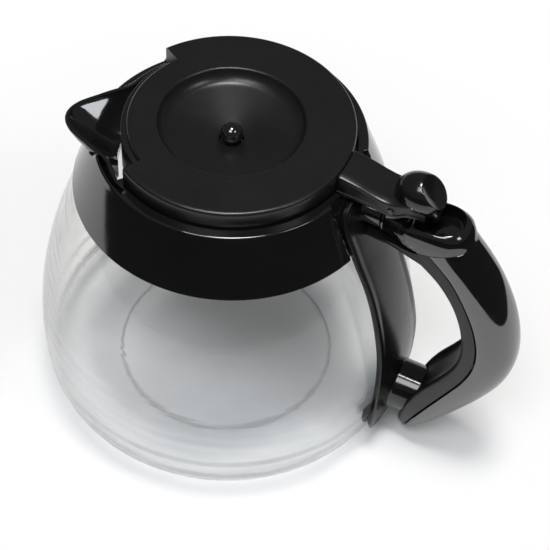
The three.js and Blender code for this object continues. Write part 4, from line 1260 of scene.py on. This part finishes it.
def makeFloor():
    f = floorSheet
    bm = bmesh.new()
    bmesh.ops.create_circle(bm, cap_ends=True, segments=f["segments"], radius=f["size"])
    move(bm, (0, 0, f["height"]))
    stageObject("floor", bm, paleFloor())


sky = dict(horizon=(0.95, 0.94, 0.93), overhead=(0.1, 0.097, 0.093), fade=0.14)


def makeWorld():
    world = bpy.data.worlds.new("studio")
    scene.world = world
    world.use_nodes = True
    tree = world.node_tree
    coords = tree.nodes.new("ShaderNodeTexCoord")
    split = tree.nodes.new("ShaderNodeSeparateXYZ")
    tree.links.new(coords.outputs["Generated"], split.inputs["Vector"])
    ramp = tree.nodes.new("ShaderNodeValToRGB")  # pale near the horizon, dim overhead
    low, high = ramp.color_ramp.elements
    low.color = (*sky["horizon"], 1)
    high.position = sky["fade"]
    high.color = (*sky["overhead"], 1)
    tree.links.new(split.outputs["Z"], ramp.inputs["Fac"])
    tree.links.new(ramp.outputs["Color"], tree.nodes["Background"].inputs["Color"])


flag = dict(radius=0.38, height=0.2, start=-178, end=45, steps=64, color=(0.02, 0.02, 0.02), roughness=0.9)


def makeFlag():  # low dark screen round the front of the set, out of the picture
    f = flag
    bm = bmesh.new()
    foot, top = bm.verts.new((f["radius"], 0, 0)), bm.verts.new((f["radius"], 0, f["height"]))
    edge = bm.edges.new((foot, top))
    rotate(bm, f["start"], "Z")
    spin(bm, [foot, top, edge], f["end"] - f["start"], f["steps"])
    cloth = finish("flag_cloth", f["color"], f["roughness"], {})[0]
    obj = stageObject("flag", bm, cloth)
    obj.visible_camera = False
    obj.visible_transmission = False


lamps = [dict(name="overhead", place=(0.1, -0.04, 2.2), aim=(0, 0, 0.06), size=(0.52, 0.52), watts=27,
              color=(1, 0.98, 0.96)),
         dict(name="front_left", place=(0.06, -0.92, 1.78), aim=(0, 0, 0.1), size=(0.8, 0.72), watts=14,
              color=(0.93, 0.96, 1)),
         dict(name="right", place=(1.33, -0.19, 1.49), aim=(0, 0, 0.1), size=(0.54, 0.48), watts=5.2,
              color=(0.92, 0.96, 1))]


def softbox(name, place, aim, size, watts, color):
    lamp = bpy.data.lights.new(name, "AREA")
    lamp.shape = "RECTANGLE"
    lamp.size, lamp.size_y = size
    lamp.energy = watts
    lamp.color = color
    obj = bpy.data.objects.new(name, lamp)
    scene.collection.objects.link(obj)
    obj.location = place
    obj.rotation_euler = (Vector(aim) - Vector(place)).to_track_quat("-Z", "Y").to_euler()


# the angles are in degrees: round the object from the front, up from the floor, and the camera's own tilt
view = dict(place=(0.1868, -0.3917, 0.5815), azimuth=22.8412, elevation=50.7486, roll=3.5145, lens=105.07,
            sensor=36, clipStart=0.01)


def makeCamera():
    camera = bpy.data.cameras.new("camera")
    camera.lens = view["lens"]
    camera.sensor_width = view["sensor"]
    camera.clip_start = view["clipStart"]
    obj = bpy.data.objects.new("camera", camera)
    scene.collection.objects.link(obj)
    turn = Matrix.Translation(view["place"])
    for degrees, axis in ((view["azimuth"], "Z"), (90 - view["elevation"], "X"), (view["roll"], "Z")):
        turn = turn @ Matrix.Rotation(math.radians(degrees), 4, axis)
    obj.matrix_world = turn
    scene.camera = obj


makeFloor()
makeWorld()
makeFlag()
for lamp in lamps:
    softbox(**lamp)
makeCamera()
print("stage set")
